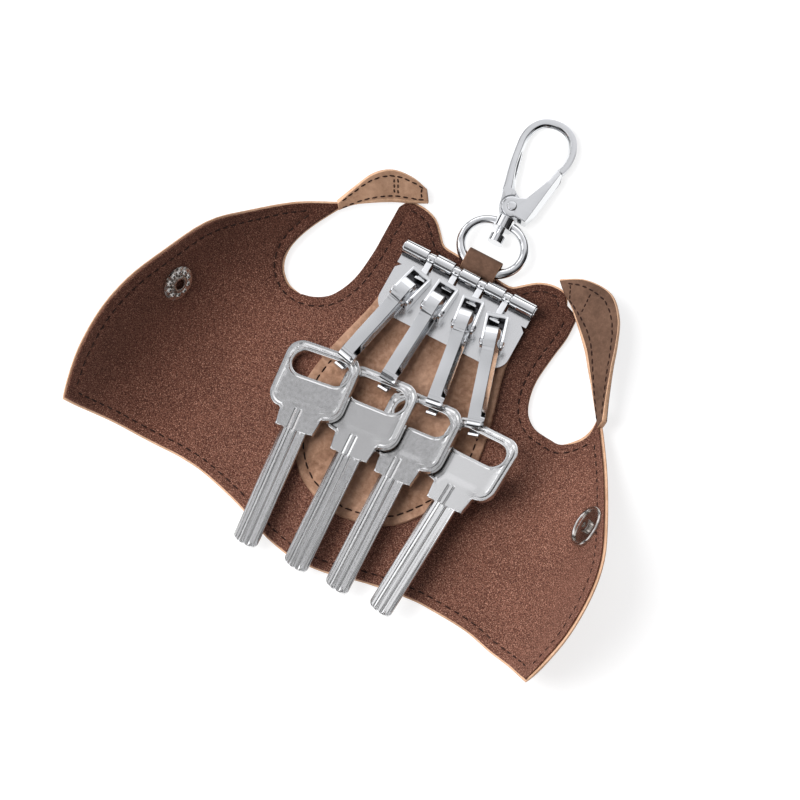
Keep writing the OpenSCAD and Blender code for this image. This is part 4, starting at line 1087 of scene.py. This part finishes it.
def creased_gate(i):
    """A gate's strip with its right-hand side folded down, as the stamped ones have, and a slight sag
    along it."""
    frame_of = hook_matrix(i)
    back, turned = frame_of.inverted(), frame_of.to_3x3()
    cuts = [(frame_of @ Vector((x * MM, 0, 0)), turned @ Vector((1, 0, 0)))
            for x in (GATE_FOLD_X, GATE_FOLD_X + 0.2)]
    cuts += [(frame_of @ Vector((0, y * MM, 0)), turned @ Vector((0, 1, 0)))
             for y in [-HOOK_L - 0.05] + list(np.linspace(-HOOK_L + 0.4, PIVOT_Y - 2.6, 14))]

    def warp(point):
        q = back @ point / MM
        t = float(np.clip((q.y + HOOK_L) / (HOOK_L + PIVOT_Y - 2.6), 0, 1))
        along = float(smooth(t / 0.06) * smooth((1 - t) / 0.12))
        folded = max(along, float(smooth((t - 0.5) / 0.1))) if q.z > BEND_Z + 2.2 or t < 1 else 0
        q.z -= 1.2 * max(q.x - GATE_FOLD_X, 0) * folded
        q.z += GATE_SAG * math.sin(2 * math.pi * t) * along
        return frame_of @ (q * MM)
    return chromed(f"hook_gate_{i}", f"gate_{i}", 0.16, warp=warp, cuts=cuts)


plate = eased("hook_plate", "case", MAT["plate"], "plate_metal", 0.15, 3)
# The knuckles take the chrome, with near-black plating as painted shade on their faces towards the hooks,
# from below round to a little above their middle, and on their ends
for SHADE in ("chrome", "seam"):
    plate.data.materials.append(MAT[SHADE])
for face in plate.data.polygons:
    centre = row_back(face.center)
    if centre[2] > PLATE_T + 0.15:
        lean = math.degrees(math.atan2(centre[2] - ROD_Z, -centre[1]))
        face.material_index = 2 if -60 < lean < 28 or abs(face.normal.x) > 0.9 else 1
chromed("hook_rod", "case", 0.1)
chromed("plate_rivets", "case", 0.12)
for KEY in (1, 2, 3, 4):
    chromed(f"hook_link_{KEY}", f"hook_{KEY}", 0.15, warp=slim_eye)
    hook = chromed(f"hook_frame_{KEY}", f"hook_{KEY}", 0.16)
    # painted shade: near-black plating on the frame's low upward faces inside its channel, from the pivot
    # on towards the rod
    hook.data.materials.append(MAT["seam"])
    inwards = hook_matrix(KEY).inverted()
    for face in hook.data.polygons:
        centre = inwards @ face.center / MM
        face.material_index = int(face.normal.z > 0.9 and centre.z < 2.6 and centre.y > PIVOT_Y - 2)
    chromed(f"hook_pin_{KEY}", f"hook_{KEY}", 0.12)
    eased(f"hook_spring_{KEY}", f"hook_{KEY}", MAT["steel"], "spring_steel", 0.05)
    creased_gate(KEY)
chromed("swivel_ring", "ring", 0.2, 3, swell=0.22)
chromed("clip_body", "clip", 0.3, 3, warp=taller_bow)


def clip_bow():
    """The clip's bow as a flat cast band, wide at its foot and slimmer over the top, round the wire of
    its frame."""
    bow_r = 7.0
    centre = np.array([2.1, CLIP_PIVOT_Y + 19.4])
    turns = np.radians(np.linspace(-30, 180 + CLIP_ARM_TURN, 60))
    top = centre + bow_r * columns(np.cos(turns), np.sin(turns))
    foot = np.array([-3.1, CLIP_PIVOT_Y + 4.0])
    run = np.linspace(top[-1], foot, 26)[1:]
    path = np.stack(bow_shift(*np.vstack([top, run]).T), axis=1)
    tangent = unit(np.gradient(path, axis=0))
    side = columns(tangent[:, 1], -tangent[:, 0])
    share = np.concatenate([np.linspace(0, 0.55, len(top)), np.linspace(0.55, 1, len(run) + 1)[1:]])
    half = np.interp(share, [0, 0.12, 0.5, 0.75, 1], [1.3, 1.32, 1.3, 1.42, 1.85])
    thick = np.interp(share, [0, 0.5, 0.7, 1], [1.0, 1.0, 1.25, 1.42])
    deep, ease = 1.3, 0.32
    ring = [(1, deep - ease), (1 - 0.25 * ease, deep - 0.25 * ease), (1 - ease, deep), (-0.3, deep),
            (-0.42, deep - 0.1), (-0.97, deep - 1.05), (-1, deep - 1.15)]
    ring += [(a, -z) for a, z in ring[::-1]]
    verts = []
    for p, w, h, t in zip(path, side, half, thick):
        for a, z in ring:
            q = p + w * a * h
            verts.append(tuple(CLIP @ (Vector((*q, z * t)) * MM) / MM))
    obj = new_object("clip_bow_band", verts, tube(len(path), len(ring)), [MAT["chrome"]])
    face_outwards(obj)
    obj.data.set_sharp_from_angle(angle=math.radians(40))
    flat_faces(obj)
    attach(obj, "clip", "bright_plating")


clip_bow()
chromed("clip_rivet", "clip", 0.15)
eased("clip_spring", "clip", MAT["steel"], "spring_steel", 0.05)
GATE_FOOT = Vector((7.13, CLIP_PIVOT_Y + 0.3, 0))
GATE_RUN = Vector((9.3, CLIP_PIVOT_Y + 13.2, 0)) - GATE_FOOT
OUTWARDS = Vector((GATE_RUN.y, -GATE_RUN.x, 0)).normalized()
BEVEL_FROM = 1.3


def bevelled_gate(point):
    """The clip gate's outer side sloped away from its flats."""
    q = CLIP_BACK @ point / MM
    past = (q - GATE_FOOT).dot(OUTWARDS) + BEVEL_FROM
    if past > 0 and abs(q.z) > 0.6:
        q.z -= math.copysign(min(past * 1.35, abs(q.z) - 0.5), q.z)
    return CLIP @ (q * MM)


chromed("clip_gate", "clip_gate", 0.3, 3, warp=bevelled_gate,
        cuts=[(CLIP @ ((GATE_FOOT - OUTWARDS * t) * MM), CLIP.to_3x3() @ OUTWARDS)
              for t in (BEVEL_FROM, BEVEL_FROM - 0.1)])
for NODE, FRONT, WIDTH in (("snap_socket", "left_front", 0.12), ("snap_cap", "left_front", 0.15),
                           ("snap_post", "right_front", 0.12), ("snap_stud", "right_front", 0.12)):
    eased(NODE, FRONT, MAT["antique"], "snap_metal", WIDTH)


# ---- camera, floor and light
CAM_TO, CAM_RIGHT = Vector(VIEW_WAY).normalized(), Vector((0.8545, 0.5195, 0)).normalized()
CAM_UP = CAM_TO.cross(CAM_RIGHT).normalized()
CAM_FAR, LAMP_FAR = 2540, 1300
camera = bpy.data.cameras.new("photo_camera")
camera.lens, camera.sensor_width, camera.clip_end = 400, 36, 10
camera_obj = bpy.data.objects.new("photo_camera", camera)
SCENE.collection.objects.link(camera_obj)
turn = Matrix((CAM_RIGHT, CAM_UP, CAM_TO)).transposed().to_4x4()
camera_obj.matrix_world = Matrix.Translation((Vector(AIM_AT) + CAM_TO * CAM_FAR) * MM) @ turn
SCENE.camera = camera_obj
SCENE.view_settings.view_transform = "Standard"
FLOOR_Z = CAD_BOUNDS[0][2] / MM - 0.02
FLOOR_HALF = 1500


def floor():
    m, tree, shader = material("white_table", (0.93, 0.93, 0.93), 0.9, Specular_IOR_Level=0.1,
                               Emission_Color=(1, 1, 1, 1), Emission_Strength=0.75)
    stops = [(0.3, (0.36, 0.36, 0.36)), (0.7, (0.39, 0.39, 0.39))]
    wire(tree, shader, Base_Color=ramp(tree, noise(tree, 3, 2), stops))
    corners = [(x * FLOOR_HALF, y * FLOOR_HALF, FLOOR_Z) for x, y in ((-1, -1), (1, -1), (1, 1), (-1, 1))]
    new_object("white_table", corners, [[0, 1, 2, 3]], [m])


def key_light():
    way = (CAM_TO * 0.78 - CAM_RIGHT * 0.56 + CAM_UP * 0.24).normalized()
    data = bpy.data.lights.new("key_light", "AREA")
    data.energy, data.size = 19.0, 0.9
    obj = bpy.data.objects.new("key_light", data)
    SCENE.collection.objects.link(obj)
    obj.location = (Vector(AIM_AT) + way * LAMP_FAR) * MM
    obj.rotation_euler = way.to_track_quat("Z", "Y").to_euler()
    obj.visible_glossy = False


def studio():
    """Pale studio with a dark band round the horizon, which gives the plating its contrast."""
    world = bpy.data.worlds.new("studio")
    SCENE.world = world
    world.use_nodes = True
    tree = world.node_tree
    way = new_node(tree, "TexCoord").outputs["Generated"]
    greys = lambda fac, *stops: ramp(tree, fac, [(at, (v, v, v * 1.01)) for at, v in stops])
    height = greys(new_node(tree, "SeparateXYZ", Vector=way).outputs["Z"], (0.0, 0.3), (0.03, 0.01),
                   (0.2, 0.015), (0.3, 0.45), (0.4, 1.5), (0.62, 1.4), (0.75, 0.8), (1.0, 0.56))
    dot = new_node(tree, "VectorMath")
    dot.operation = "DOT_PRODUCT"
    put(tree, dot.inputs[0], way)
    put(tree, dot.inputs[1], (-CAM_RIGHT + CAM_UP * 0.7).normalized())
    across = greys(remap(tree, dot.outputs["Value"], -1.0), (0.14, 0.03), (0.32, 0.25), (0.43, 0.9),
                   (0.66, 1.0), (0.82, 1.1), (1.0, 1.25))
    cards = greys(noise(tree, 3.2, 1.0, 0.5, space="Generated"), (0.4, 0.12), (0.45, 0.95), (0.6, 1.1))
    light = mix(tree, 1.0, mix(tree, 1.0, height, across, "MULTIPLY"), cards, "MULTIPLY")
    path = new_node(tree, "LightPath").outputs
    strength = remap(tree, path["Is Diffuse Ray"], to_low=1.15, to_high=0.76)
    back = wire(tree, tree.nodes["Background"], Color=light, Strength=strength)
    white = new_node(tree, "Background", Color=(1, 1, 1, 1))
    blend = new_node(tree, "MixShader")
    for socket, value in zip(blend.inputs, (path["Is Camera Ray"], back.outputs[0], white.outputs[0])):
        put(tree, socket, value)
    wire(tree, tree.nodes["World Output"], Surface=blend.outputs[0])


floor()
key_light()
studio()
